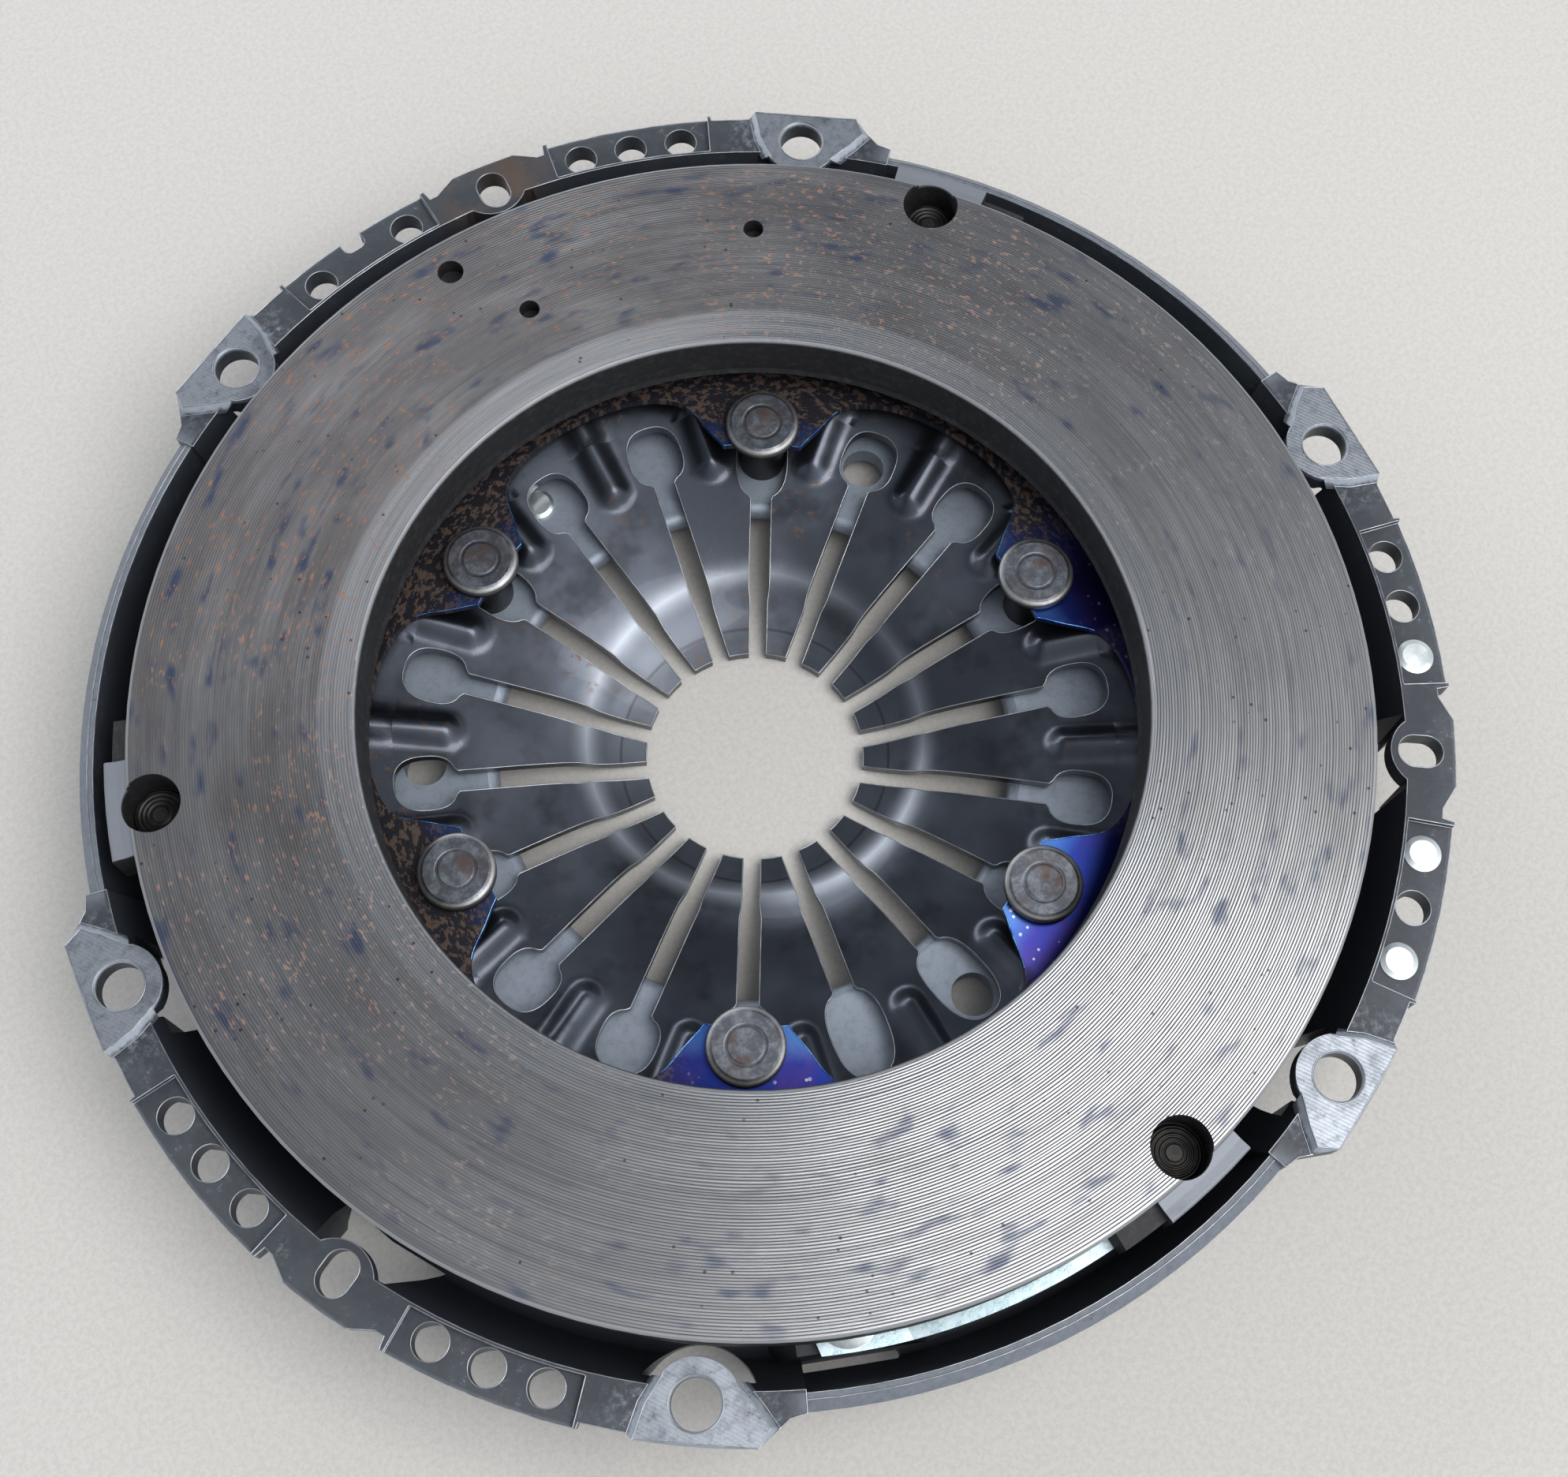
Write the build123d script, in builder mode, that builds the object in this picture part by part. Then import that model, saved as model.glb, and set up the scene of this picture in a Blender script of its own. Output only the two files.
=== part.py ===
"""Clutch pressure plate with a self-adjusting sprung cover, for a 240 mm driven disc.

Frame: origin at the centre of the six mounting bolts, z = 0 on the mounting-tab face,
+Z towards the flywheel. Angles run anticlockwise about +Z, seen from the flywheel.
"""

from build123d import *
from math import cos, radians, sin, sqrt
import os

os.makedirs("parts", exist_ok=True)

# ---------------------------------------------------------------- driving dimensions (mm, degrees)
# Mounting interface
RIM_R = 137.0                  # outside of the mounting tabs; the outer radii follow it
BOLT_CIRCLE_R = RIM_R - 7.0    # mounting holes, 6 off
BOLT_HOLE_R = 4.5              # clearance for M8
DOWEL_R = RIM_R - 6.7          # centres of the three dowel slots
DOWEL_LONG = 8.9
DOWEL_WIDE = 6.6
BALANCE_R = RIM_R - 5.1
BALANCE_HOLE_R = 3.45
BALANCE_STEPS = (11.5, 16.3, 21.1)

# Pressed cover
SHEET = 4.8
FLANGE_Z = -1.2                # flange beside the dowels
PAD_Z = -2.75                  # recessed balance pads
FLOOR_Z = -26.6                # inside of the cover floor
WALL_FOOT_R = RIM_R - 16.2
WALL_TOP_R = RIM_R - 9.4
LUG_FOOT_R = RIM_R - 13.6      # wall foot where the cover is cut low for the lugs
LUG_TOP_R = RIM_R - 8.8
TRIM_Z = -1.8

# Pressure plate
FRICTION_OUTER_R = RIM_R - 17.0
FRICTION_INNER_R = 76.5
FACE_Z = 5.8
PLATE_THICK = 12.0
LUG_ANGLE = 45.7               # first of three lugs
LUG_R = FRICTION_OUTER_R + 4.5
RIVET_R = FRICTION_OUTER_R - 4.3   # strap rivets, both ends

# Stand-off bolts and the two sprung discs
BOLT_ANGLE = 3.07
STANDOFF_R = 65.8              # the inner radii follow it
LIP_R = STANDOFF_R - 12.75
HEAD_TOP_Z = -8.77
HEAD_R = 7.7
HEAD_THICK = 2.4
SHANK_R = 4.9
TAIL_R = 3.6
SENSOR_THICK = 1.8
SENSOR_TIP_R = STANDOFF_R - 3.9
SENSOR_TIP_Z = -11.4
SENSOR_SLOPE = 0.1025
FINGERS = 18
DISC_THICK = 2.6
DISC_OUTER_R = FRICTION_OUTER_R - 12.5
SENSOR_OUTER_R = DISC_OUTER_R - 17.5
DISC_NECK_R = STANDOFF_R - 10.7
DISC_NECK_Z = -23.35
DISC_SLOPE = 0.20
TIP_R = 22.8
SLOT_WIDE = 4.5
TIP_SLOT_WIDE = 3.75           # the slots narrow where the fingers turn down
BEAD_WIDE = 7.6
BEAD_HIGH = 1.4

# Wear adjuster
ADJUSTER_R = DISC_OUTER_R - 19.5
ADJUSTER_HALF_WIDE = 4.5
RAMPS = 12
WEAR_TRAVEL = 2.5
ADJUSTER_TURN = 15.1
SPRING_R = ADJUSTER_R + 9.0
SPRING_COIL_R = 2.4
WIRE_R = 0.5

# Stop pin in the cover floor
PIN_R = STANDOFF_R + 6.2
PIN_ANGLE = 105.0
PIN_BODY_R = 2.3

# Drive straps
STRAP_TURN = 32.9              # cover rivet to plate rivet
STRAP_HALF_WIDE = 6.4
STRAP_THICK = 1.2
STRAP_COVER_Z = -9.9
STRAPS = 2
RIVET_SHANK_R = 4.0
COVER_RIVET_HEAD_R = 5.8

# Clearances
GAP = 0.3                      # between pieces that move against each other
FIT = 0.15                     # radial, round a rivet or bolt

# ---------------------------------------------------------------- derived values
PLATE_BACK_Z = FACE_Z - PLATE_THICK
COVER_BACK_Z = FLOOR_Z - SHEET
TAIL_HEAD_THICK = 4.2
STRAP_PLATE_Z = PLATE_BACK_Z - GAP
STRAP_COVER_ANGLE = LUG_ANGLE - STRAP_TURN
STRAP_PACK = STRAPS * STRAP_THICK
STRAP_PAD_Z = STRAP_COVER_Z - STRAP_PACK
RAMP_SLOPE = WEAR_TRAVEL / (2 * ADJUSTER_R * sin(radians(ADJUSTER_TURN / 2)))
RAMP_LOW_Z = FLOOR_Z + 0.15
RAMP_HALF = ADJUSTER_R * sin(radians(ADJUSTER_TURN / 2)) + 2.0
RAMP_PHASE = 23.0
SEAT_PAD_HALF = 1.5
SPRING_Z = -22.6
SPRING_SPAN = 18.0
SPRING_ANGLE = 20.0
SPRING_STOP_THICK = 3.0
SPRING_END_GAP = 0.15
SPRING_CHORD = 2 * SPRING_R * sin(radians(SPRING_SPAN / 2))
SPRING_MID_R = SPRING_R * cos(radians(SPRING_SPAN / 2))
SPRING_MID_ANGLES = [SPRING_ANGLE + SPRING_SPAN / 2 + 120 * spring for spring in range(3)]
RAMP_HALF_WIDE = 3.5


def polar(radius, angle):
    """Point at a radius and angle in the plan view."""
    return (radius * cos(radians(angle)), radius * sin(radians(angle)))


def radial_plane(angle):
    """Upright plane through the main axis: local x runs outward, local y runs up."""
    return Plane(
        origin=(0, 0, 0),
        x_dir=(cos(radians(angle)), sin(radians(angle)), 0),
        z_dir=(sin(radians(angle)), -cos(radians(angle)), 0),
    )


def tangent_plane(radius, angle):
    """Upright plane across a radius: local x runs anticlockwise, local y runs up, normal outward."""
    return Plane(
        origin=(*polar(radius, angle), 0),
        x_dir=(-sin(radians(angle)), cos(radians(angle)), 0),
        z_dir=(cos(radians(angle)), sin(radians(angle)), 0),
    )


def spot_plane(radius, angle):
    """Upright plane through a point of the plan view, for pieces turned about that point."""
    return Plane(
        origin=(*polar(radius, angle), 0),
        x_dir=(cos(radians(angle)), sin(radians(angle)), 0),
        z_dir=(sin(radians(angle)), -cos(radians(angle)), 0),
    )


def spot_axis(radius, angle):
    """Upright axis through a point of the plan view."""
    return Axis((*polar(radius, angle), 0), (0, 0, 1))


def disc_top(radius):
    """Height of the main diaphragm's upper face at a radius outside its finger necks."""
    return DISC_NECK_Z + DISC_SLOPE * (radius - DISC_NECK_R)


def sensor_top(radius):
    """Height of the sensor diaphragm's upper face."""
    return SENSOR_TIP_Z - SENSOR_SLOPE * (radius - SENSOR_TIP_R)


def finish(part, node):
    """Name a finished solid and write it out."""
    part.part.label = node
    export_step(part.part, f"parts/{node}.step")


def corner(face, x, y):
    """Corner of a sketch face nearest a point."""
    return face.vertices().sort_by_distance((x, y, 0))[0]


# ---------------------------------------------------------------- cover
# Between the lugs the pressing keeps its full flange; at each lug the wall is trimmed low.
FLANGED_HALF = 38.5
CUTBACK_HALF = 23.0
WALL_LEAN = (WALL_TOP_R - WALL_FOOT_R) / (FLANGE_Z - FLOOR_Z)
WALL_OFFSET = SHEET * sqrt(1 + WALL_LEAN**2)
WALL_BACK_TOP_R = WALL_TOP_R + WALL_OFFSET - SHEET * WALL_LEAN
WALL_BACK_FOOT_R = WALL_FOOT_R + WALL_OFFSET - SHEET * WALL_LEAN
LUG_BACK_FOOT_R = LUG_FOOT_R + SHEET - 0.8
SECTOR_INNER_R = RIM_R - 27.0
FLOOR_OUTER_R = SECTOR_INNER_R + 2.0
DOWEL_ANGLES = (90, 210, 330)
LUG_CENTRES = (30, 150, 270)
TAB_LUG_SIDE = ((0, 1), (60, -1), (120, 1), (180, -1), (240, 1), (300, -1))
BALANCE_END = 2.6              # pad beyond its end holes, degrees
BALANCE_FIRST = BALANCE_STEPS[0] - BALANCE_END
BALANCE_SPAN = BALANCE_STEPS[-1] - BALANCE_STEPS[0] + 2 * BALANCE_END
BALANCE_INNER_R = RIM_R - 8.6
BALANCE_OUTER_R = RIM_R - 0.2
BLANK_BALANCE_HOLE = 103.7     # the one position left undrilled
TAB_ARC_R = 7.9                # tab end round a mounting hole
CRESCENT_R = 11.2              # far side of the window behind it
CRESCENT_END_R = RIM_R - 11.0
BOSS_R = RIM_R - 5.0           # tongue end round a dowel slot
BOSS_ARC_R = 7.5
GAUGE_ANGLES = (44.1, 158.1, 284.1)
GAUGE_HOLE_R = 4.4


def outline(points, angle, side=1):
    """Polar outline turned to an angle, mirrored when side is -1."""
    return [polar(r, angle + side * a) for r, a in points]


def rim_outline(points, angle, side=1):
    """Outline whose points are an inset from the rim and an angle."""
    return outline([(RIM_R - inset, a) for inset, a in points], angle, side)


TAB_OUTLINE = (
    (0, -4.4), (0, 4.8), (3.4, 5.7), (6.6, 4.7), (10.8, 3.0), (13.4, 2.6),
    (14.8, 1.6), (15.2, 0), (14.8, -1.6), (13.4, -2.6), (10.8, -2.9), (6.0, -3.9),
)
CUTBACK_OUTLINE = ((-5, 4.8), (0, 4.8), (2.7, 6.1), (4.8, 7.2), (5.65, 8.9), (5.7, 12), (-5, 12))
TAB_RIM_NOTCH = ((-5, 4.4), (0, 4.4), (1.1, 5.1), (1.1, BALANCE_FIRST - 0.4), (-5, BALANCE_FIRST))
DOWEL_RIM_NOTCH = ((-5, 2.9), (0, 2.9), (2.4, 4.9), (2.4, 5.7), (-5, 6.2))
BOSS_WINDOW = (
    (16.4, -5.6), (16.1, 0), (16.4, 5.6), (13.6, 4.9), (9.4, 3.4), (9.4, -3.4), (13.6, -4.9),
)


with BuildPart() as cover:
    with BuildSketch(radial_plane(0)):
        with BuildLine():
            Polyline(
                (LIP_R, FLOOR_Z), (FLOOR_OUTER_R, FLOOR_Z), (FLOOR_OUTER_R, COVER_BACK_Z),
                (LIP_R, COVER_BACK_Z), close=True,
            )
        floor_face = make_face()
        fillet(floor_face.vertices().group_by(Axis.X)[0], radius=SHEET / 2 - 0.1)
    revolve(axis=Axis.Z)

    with BuildSketch(*[radial_plane(centre - FLANGED_HALF) for centre in DOWEL_ANGLES]):
        with BuildLine():
            Polyline(
                (SECTOR_INNER_R, FLOOR_Z), (WALL_FOOT_R, FLOOR_Z), (WALL_TOP_R, FLANGE_Z),
                (RIM_R, FLANGE_Z), (RIM_R, FLANGE_Z - SHEET), (WALL_BACK_TOP_R, FLANGE_Z - SHEET),
                (WALL_BACK_FOOT_R, COVER_BACK_Z), (SECTOR_INNER_R, COVER_BACK_Z), close=True,
            )
        wall_face = make_face()
        fillet(corner(wall_face, WALL_FOOT_R, FLOOR_Z), radius=3)
        fillet(corner(wall_face, WALL_TOP_R, FLANGE_Z), radius=2)
        fillet(corner(wall_face, WALL_BACK_FOOT_R, COVER_BACK_Z), radius=3 + SHEET)
        fillet(corner(wall_face, RIM_R, FLANGE_Z), radius=0.6)
    revolve(axis=Axis.Z, revolution_arc=2 * FLANGED_HALF)

    with BuildSketch(*[radial_plane(centre - CUTBACK_HALF) for centre in LUG_CENTRES]):
        with BuildLine():
            Polyline(
                (SECTOR_INNER_R, FLOOR_Z), (LUG_FOOT_R, FLOOR_Z), (LUG_TOP_R, TRIM_Z),
                (LUG_TOP_R + 1.1, TRIM_Z), (LUG_TOP_R + 3.1, TRIM_Z - 1.9), (LUG_TOP_R + 3.1, TRIM_Z - 5),
                (LUG_BACK_FOOT_R, COVER_BACK_Z), (SECTOR_INNER_R, COVER_BACK_Z), close=True,
            )
        lug_wall_face = make_face()
        fillet(corner(lug_wall_face, LUG_FOOT_R, FLOOR_Z), radius=2)
        fillet(corner(lug_wall_face, LUG_BACK_FOOT_R, COVER_BACK_Z), radius=2 + SHEET)
    revolve(axis=Axis.Z, revolution_arc=2 * CUTBACK_HALF)

    # Balance pads: pressed down from the flange, same sheet thickness
    with BuildSketch(Plane.XY.offset(PAD_Z - SHEET)) as balance_plan:
        for tab, lug_side in TAB_LUG_SIDE:
            pad_start = tab - BALANCE_FIRST - BALANCE_SPAN if lug_side > 0 else tab + BALANCE_FIRST
            with BuildLine():
                inner_arc = CenterArc((0, 0), BALANCE_INNER_R, pad_start, BALANCE_SPAN)
                outer_arc = CenterArc((0, 0), BALANCE_OUTER_R, pad_start, BALANCE_SPAN)
                Line(inner_arc @ 0, outer_arc @ 0)
                Line(inner_arc @ 1, outer_arc @ 1)
            make_face()
    extrude(amount=SHEET)
    with BuildSketch(Plane.XY.offset(PAD_Z)):
        add(offset(balance_plan.sketch, amount=0.3, mode=Mode.PRIVATE))
    extrude(amount=4, mode=Mode.SUBTRACT)

    # Mounting tabs: raised faces with sloped shoulders
    for tab, lug_side in TAB_LUG_SIDE:
        with BuildSketch() as tab_top:
            with BuildLine():
                Polyline(*rim_outline(TAB_OUTLINE, tab, lug_side), close=True)
            make_face()
        with BuildSketch(Plane.XY.offset(FLANGE_Z - 0.4)):
            add(offset(tab_top.sketch, amount=1.8, kind=Kind.INTERSECTION, mode=Mode.PRIVATE))
        loft()
    with BuildSketch(Plane.XY.offset(-SHEET)):
        for tab, lug_side in TAB_LUG_SIDE:
            with BuildLine():
                Polyline(*rim_outline(TAB_OUTLINE, tab, lug_side), close=True)
            make_face()
    extrude(amount=SHEET - 0.2)

    # Tongues that carry the dowel slots
    with BuildSketch(Plane.XY.offset(FLANGE_Z - SHEET)):
        with PolarLocations(BOSS_R, 3, start_angle=DOWEL_ANGLES[0]):
            Circle(BOSS_ARC_R)
        Circle(RIM_R, mode=Mode.INTERSECT)
    extrude(amount=SHEET)

    # The flange is cut back beside each tab, each dowel tongue and at the blank balance position
    with BuildSketch(Plane.XY.offset(-14)):
        Circle(RIM_R + 6)
        Circle(RIM_R, mode=Mode.SUBTRACT)
        for tab, lug_side in TAB_LUG_SIDE:
            with BuildLine():
                Polyline(*rim_outline(CUTBACK_OUTLINE, tab, lug_side), close=True)
            make_face()
            with BuildLine():
                Polyline(*rim_outline(TAB_RIM_NOTCH, tab, -lug_side), close=True)
            make_face()
        for dowel in DOWEL_ANGLES:
            for side in (-1, 1):
                with BuildLine():
                    Polyline(*rim_outline(DOWEL_RIM_NOTCH, dowel, side), close=True)
                make_face()
        with Locations(Location(polar(RIM_R + 0.4, BLANK_BALANCE_HOLE), BLANK_BALANCE_HOLE)):
            RectangleRounded(7, 5.2, 1.6)
    extrude(amount=16, mode=Mode.SUBTRACT)

    # Crescent windows behind the mounting holes
    with BuildSketch(Plane.XY.offset(COVER_BACK_Z - 2)):
        with PolarLocations(BOLT_CIRCLE_R, 6):
            Circle(CRESCENT_R)
        Circle(CRESCENT_END_R, mode=Mode.INTERSECT)
        with PolarLocations(BOLT_CIRCLE_R, 6):
            Circle(TAB_ARC_R, mode=Mode.SUBTRACT)
    extrude(amount=-COVER_BACK_Z + 4, mode=Mode.SUBTRACT)

    # Wider windows behind the dowel tongues
    with BuildSketch(Plane.XY.offset(COVER_BACK_Z - 2)):
        for dowel in DOWEL_ANGLES:
            with BuildLine():
                Polyline(*rim_outline(BOSS_WINDOW, dowel), close=True)
            make_face()
        with PolarLocations(BOSS_R, 3, start_angle=DOWEL_ANGLES[0]):
            Circle(BOSS_ARC_R, mode=Mode.SUBTRACT)
    extrude(amount=-COVER_BACK_Z + 4, mode=Mode.SUBTRACT)

    # Room below the tabs for bolt heads and below the tongues for dowels
    with BuildSketch(Plane.XY.offset(COVER_BACK_Z - 2)):
        with PolarLocations(BOLT_CIRCLE_R, 6):
            Circle(TAB_ARC_R)
    extrude(amount=-COVER_BACK_Z + 2 - SHEET, mode=Mode.SUBTRACT)
    with BuildSketch(Plane.XY.offset(COVER_BACK_Z - 2)):
        with PolarLocations(BOSS_R, 3, start_angle=DOWEL_ANGLES[0]):
            Circle(BOSS_ARC_R)
    extrude(amount=-COVER_BACK_Z + 2 + FLANGE_Z - SHEET, mode=Mode.SUBTRACT)
    with PolarLocations(BOLT_CIRCLE_R, 6):
        CounterSinkHole(BOLT_HOLE_R, BOLT_HOLE_R + 0.35, depth=SHEET + 1, counter_sink_angle=90)

    # Dowel slots and balance holes, three to a pad but for the blank position
    with BuildSketch(Plane.XY.offset(PAD_Z - SHEET - 9)):
        with PolarLocations(DOWEL_R, 3, start_angle=DOWEL_ANGLES[0]):
            SlotOverall(DOWEL_LONG, DOWEL_WIDE)
        for tab, lug_side in TAB_LUG_SIDE:
            for step in BALANCE_STEPS:
                if abs(tab - lug_side * step - BLANK_BALANCE_HOLE) > 0.5:
                    with Locations(polar(BALANCE_R, tab - lug_side * step)):
                        Circle(BALANCE_HOLE_R)
    extrude(amount=SHEET + 14, mode=Mode.SUBTRACT)

    # Strap pads pressed up from the floor, hollow below
    for lug in range(3):
        pad_frame = Plane.XY.rotated((0, 0, STRAP_COVER_ANGLE + 120 * lug))
        with BuildSketch(pad_frame.offset(COVER_BACK_Z)):
            with Locations((RIVET_R + 0.2, 0)):
                Rectangle(11.6, 33)
        with BuildSketch(pad_frame.offset(STRAP_PAD_Z)):
            with Locations((RIVET_R + 1.3, 0)):
                Rectangle(8.6, 20)
        loft()
        with BuildSketch(pad_frame.offset(COVER_BACK_Z - 0.2)):
            with Locations((RIVET_R + 0.1, 0)):
                Rectangle(7.2, 28)
        with BuildSketch(pad_frame.offset(STRAP_PAD_Z - SHEET + 1.5)):
            with Locations((RIVET_R + 0.7, 0)):
                Rectangle(5.2, 16)
        loft(mode=Mode.SUBTRACT)

    # Floor holes, and the slot between each strap pad and the wall
    with BuildSketch(Plane.XY.offset(COVER_BACK_Z - 1)):
        with PolarLocations(STANDOFF_R, 6, start_angle=BOLT_ANGLE):
            Circle(TAIL_R + FIT)
        with Locations(*[polar(STANDOFF_R + 2.2, angle) for angle in GAUGE_ANGLES]):
            Circle(GAUGE_HOLE_R)
        with Locations(polar(PIN_R, PIN_ANGLE)):
            Circle(PIN_BODY_R + FIT)
        with PolarLocations(RIVET_R + 7.2, 3, start_angle=STRAP_COVER_ANGLE):
            SlotOverall(19, 1.8, rotation=90)
    extrude(amount=SHEET + 5, mode=Mode.SUBTRACT)
    with BuildSketch(Plane.XY.offset(STRAP_PAD_Z - SHEET)):
        with PolarLocations(RIVET_R, 3, start_angle=STRAP_COVER_ANGLE):
            Circle(RIVET_SHANK_R + FIT)
    extrude(amount=SHEET + 1, mode=Mode.SUBTRACT)

    # Wear ramps: pressed wedges that the adjuster ring climbs
    ramp_angles = [RAMP_PHASE + step * 360 / RAMPS for step in range(RAMPS)]
    with BuildSketch(*[tangent_plane(ADJUSTER_R - RAMP_HALF_WIDE, angle) for angle in ramp_angles]):
        with BuildLine():
            Polyline(
                (-RAMP_HALF, FLOOR_Z - 0.5), (-RAMP_HALF, RAMP_LOW_Z),
                (RAMP_HALF, RAMP_LOW_Z + 2 * RAMP_HALF * RAMP_SLOPE),
                (RAMP_HALF + 1.5, FLOOR_Z - 0.5), close=True,
            )
        make_face()
    extrude(amount=2 * RAMP_HALF_WIDE)

    # Posts that hold the fixed ends of the adjuster springs
    with BuildSketch(*[tangent_plane(SPRING_MID_R - 3, angle) for angle in SPRING_MID_ANGLES]):
        with Locations((-SPRING_CHORD / 2, (FLOOR_Z + SPRING_Z + 2) / 2 - 0.25)):
            Rectangle(SPRING_STOP_THICK, SPRING_Z + 2 - FLOOR_Z + 0.5)
    extrude(amount=6)


# ---------------------------------------------------------------- pressure plate
LUG_SECTOR = 9.0
LAND_BACK = 4.7
LAND_AHEAD = 4.4
RECESS_R = 5.75
RECESS_FLOOR_Z = -3.0
LUG_ROOT_R = FRICTION_OUTER_R - 8.0
CAM_R = DISC_OUTER_R - 3.5
CAM_HALF_WIDE = 1.5
CAM_Z = disc_top(CAM_R) + GAP

with BuildPart() as pressure_plate:
    with BuildSketch(radial_plane(0)):
        with BuildLine():
            Polyline(
                (FRICTION_INNER_R - 0.5, PLATE_BACK_Z), (FRICTION_INNER_R, PLATE_BACK_Z + 1.2),
                (FRICTION_INNER_R, FACE_Z), (FRICTION_OUTER_R, FACE_Z), (FRICTION_OUTER_R, PLATE_BACK_Z),
                close=True,
            )
        plate_face = make_face()
        chamfer(corner(plate_face, FRICTION_INNER_R, FACE_Z), length=0.8)
        chamfer(corner(plate_face, FRICTION_OUTER_R, FACE_Z), length=0.5)
        chamfer(corner(plate_face, FRICTION_OUTER_R, PLATE_BACK_Z), length=1.0)
    revolve(axis=Axis.Z)

    # Drive lugs: a machined land with a lower cast shoulder on the trailing side
    with BuildSketch(*[radial_plane(LUG_ANGLE + 120 * lug - LAND_BACK) for lug in range(3)]):
        with BuildLine():
            Polyline(
                (LUG_ROOT_R, PLATE_BACK_Z), (LUG_ROOT_R, FACE_Z - 0.9),
                (FRICTION_OUTER_R - 0.2, FACE_Z - 0.9), (LUG_R - 2.5, FACE_Z - 1.5),
                (LUG_R, FACE_Z - 1.5), (LUG_R, PLATE_BACK_Z), close=True,
            )
        land_face = make_face()
        fillet(corner(land_face, LUG_R, FACE_Z - 1.5), radius=0.7)
    revolve(axis=Axis.Z, revolution_arc=LAND_BACK + LAND_AHEAD)
    with BuildSketch(*[radial_plane(LUG_ANGLE + 120 * lug - LUG_SECTOR) for lug in range(3)]):
        with BuildLine():
            Polyline(
                (LUG_ROOT_R, PLATE_BACK_Z), (LUG_ROOT_R, FACE_Z - 4), (FRICTION_OUTER_R, FACE_Z - 3.2),
                (LUG_R - 1.0, FACE_Z - 4.2), (LUG_R - 1.0, PLATE_BACK_Z), close=True,
            )
        make_face()
    revolve(axis=Axis.Z, revolution_arc=LUG_SECTOR - LAND_BACK + 0.5)
    with BuildSketch(Plane.XY.offset(RECESS_FLOOR_Z)):
        with PolarLocations(RIVET_R, 3, start_angle=LUG_ANGLE):
            Circle(RECESS_R)
    extrude(amount=FACE_Z - RECESS_FLOOR_Z + 1, mode=Mode.SUBTRACT)
    with BuildSketch(Plane.XY.offset(PLATE_BACK_Z - 1)):
        with PolarLocations(RIVET_R, 3, start_angle=LUG_ANGLE):
            Circle(RIVET_SHANK_R + FIT)
    extrude(amount=RECESS_FLOOR_Z - PLATE_BACK_Z + 2, mode=Mode.SUBTRACT)

    # Fulcrum cams on the back, one over each finger, broken by cooling gaps
    with BuildSketch(radial_plane(0)):
        with Locations((CAM_R, (PLATE_BACK_Z + CAM_Z) / 2 + 0.25)):
            cam_face = Rectangle(2 * CAM_HALF_WIDE, PLATE_BACK_Z - CAM_Z + 0.5)
            fillet(cam_face.vertices().group_by(Axis.Y)[0], radius=CAM_HALF_WIDE - 0.3)
    revolve(axis=Axis.Z)
    with BuildSketch(Plane.XY.offset(PLATE_BACK_Z)):
        with PolarLocations(CAM_R, FINGERS, start_angle=BOLT_ANGLE):
            Rectangle(2 * CAM_HALF_WIDE + 3, 9)
    extrude(amount=CAM_Z - PLATE_BACK_Z - 2, mode=Mode.SUBTRACT)

    # Small gauge holes drilled in the friction face
    with BuildSketch(Plane.XY.offset(FACE_Z - 4)):
        with Locations(polar(FRICTION_OUTER_R - 7.7, 98.7)):
            Circle(2.7)
        with Locations(polar(FRICTION_OUTER_R - 24.0, 93.4), polar(FRICTION_OUTER_R - 16.5, 64.6)):
            Circle(2.1)
    extrude(amount=5, mode=Mode.SUBTRACT)


# ---------------------------------------------------------------- main diaphragm
TIP_SLOPE = 0.25
FINGER_SLOPE = 0.36
MID_SLOPE = 0.24
KNEE_R = 28.0
HIP_R = 42.0
HIP_Z = DISC_NECK_Z - (DISC_NECK_R - HIP_R) * MID_SLOPE
KNEE_Z = HIP_Z - (HIP_R - KNEE_R) * FINGER_SLOPE
TIP_Z = KNEE_Z - (KNEE_R - TIP_R) * TIP_SLOPE
SHOULDER_R = 33.0              # the slots narrow from here inwards
SHOULDER_LONG = 3.0
KEYHOLE_OUTER_R = STANDOFF_R + 7.9
KEYHOLE_HALF_WIDE = 5.8
BOLT_KEYHOLE_HALF_WIDE = 5.5
PLAIN_NECK_R = STANDOFF_R - 4.7
LONG_KEYHOLES = (13, 14)       # the two plain keyholes whose necks reach in as far as the bolts'
BEAD_START_R = DISC_NECK_R + 8.2   # centre of the bead's rounded inner end
BEAD_END_R = BEAD_START_R + 19.0
BEAD_RADIUS = (BEAD_WIDE**2 / 4 + BEAD_HIGH**2) / (2 * BEAD_HIGH)
BEAD_LEAN = (9.0, 0.0, -9.0)   # by finger of three: the outer two lean away from the bolts
BEAD_SLOPE = Plane(
    origin=(BEAD_START_R, 0, disc_top(BEAD_START_R)),
    x_dir=(0, 1, 0),
    z_dir=(-DISC_SLOPE, 0, 1),
)


def bead_place(finger):
    """Where a bead lies: turned to its finger and leant about its own inner end."""
    turn = Rotation(0, 0, BOLT_ANGLE + (finger + 0.5) * 360 / FINGERS)
    return turn * Pos(BEAD_START_R, 0, 0) * Rotation(0, 0, BEAD_LEAN[finger % 3]) * Pos(-BEAD_START_R, 0, 0)


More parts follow.
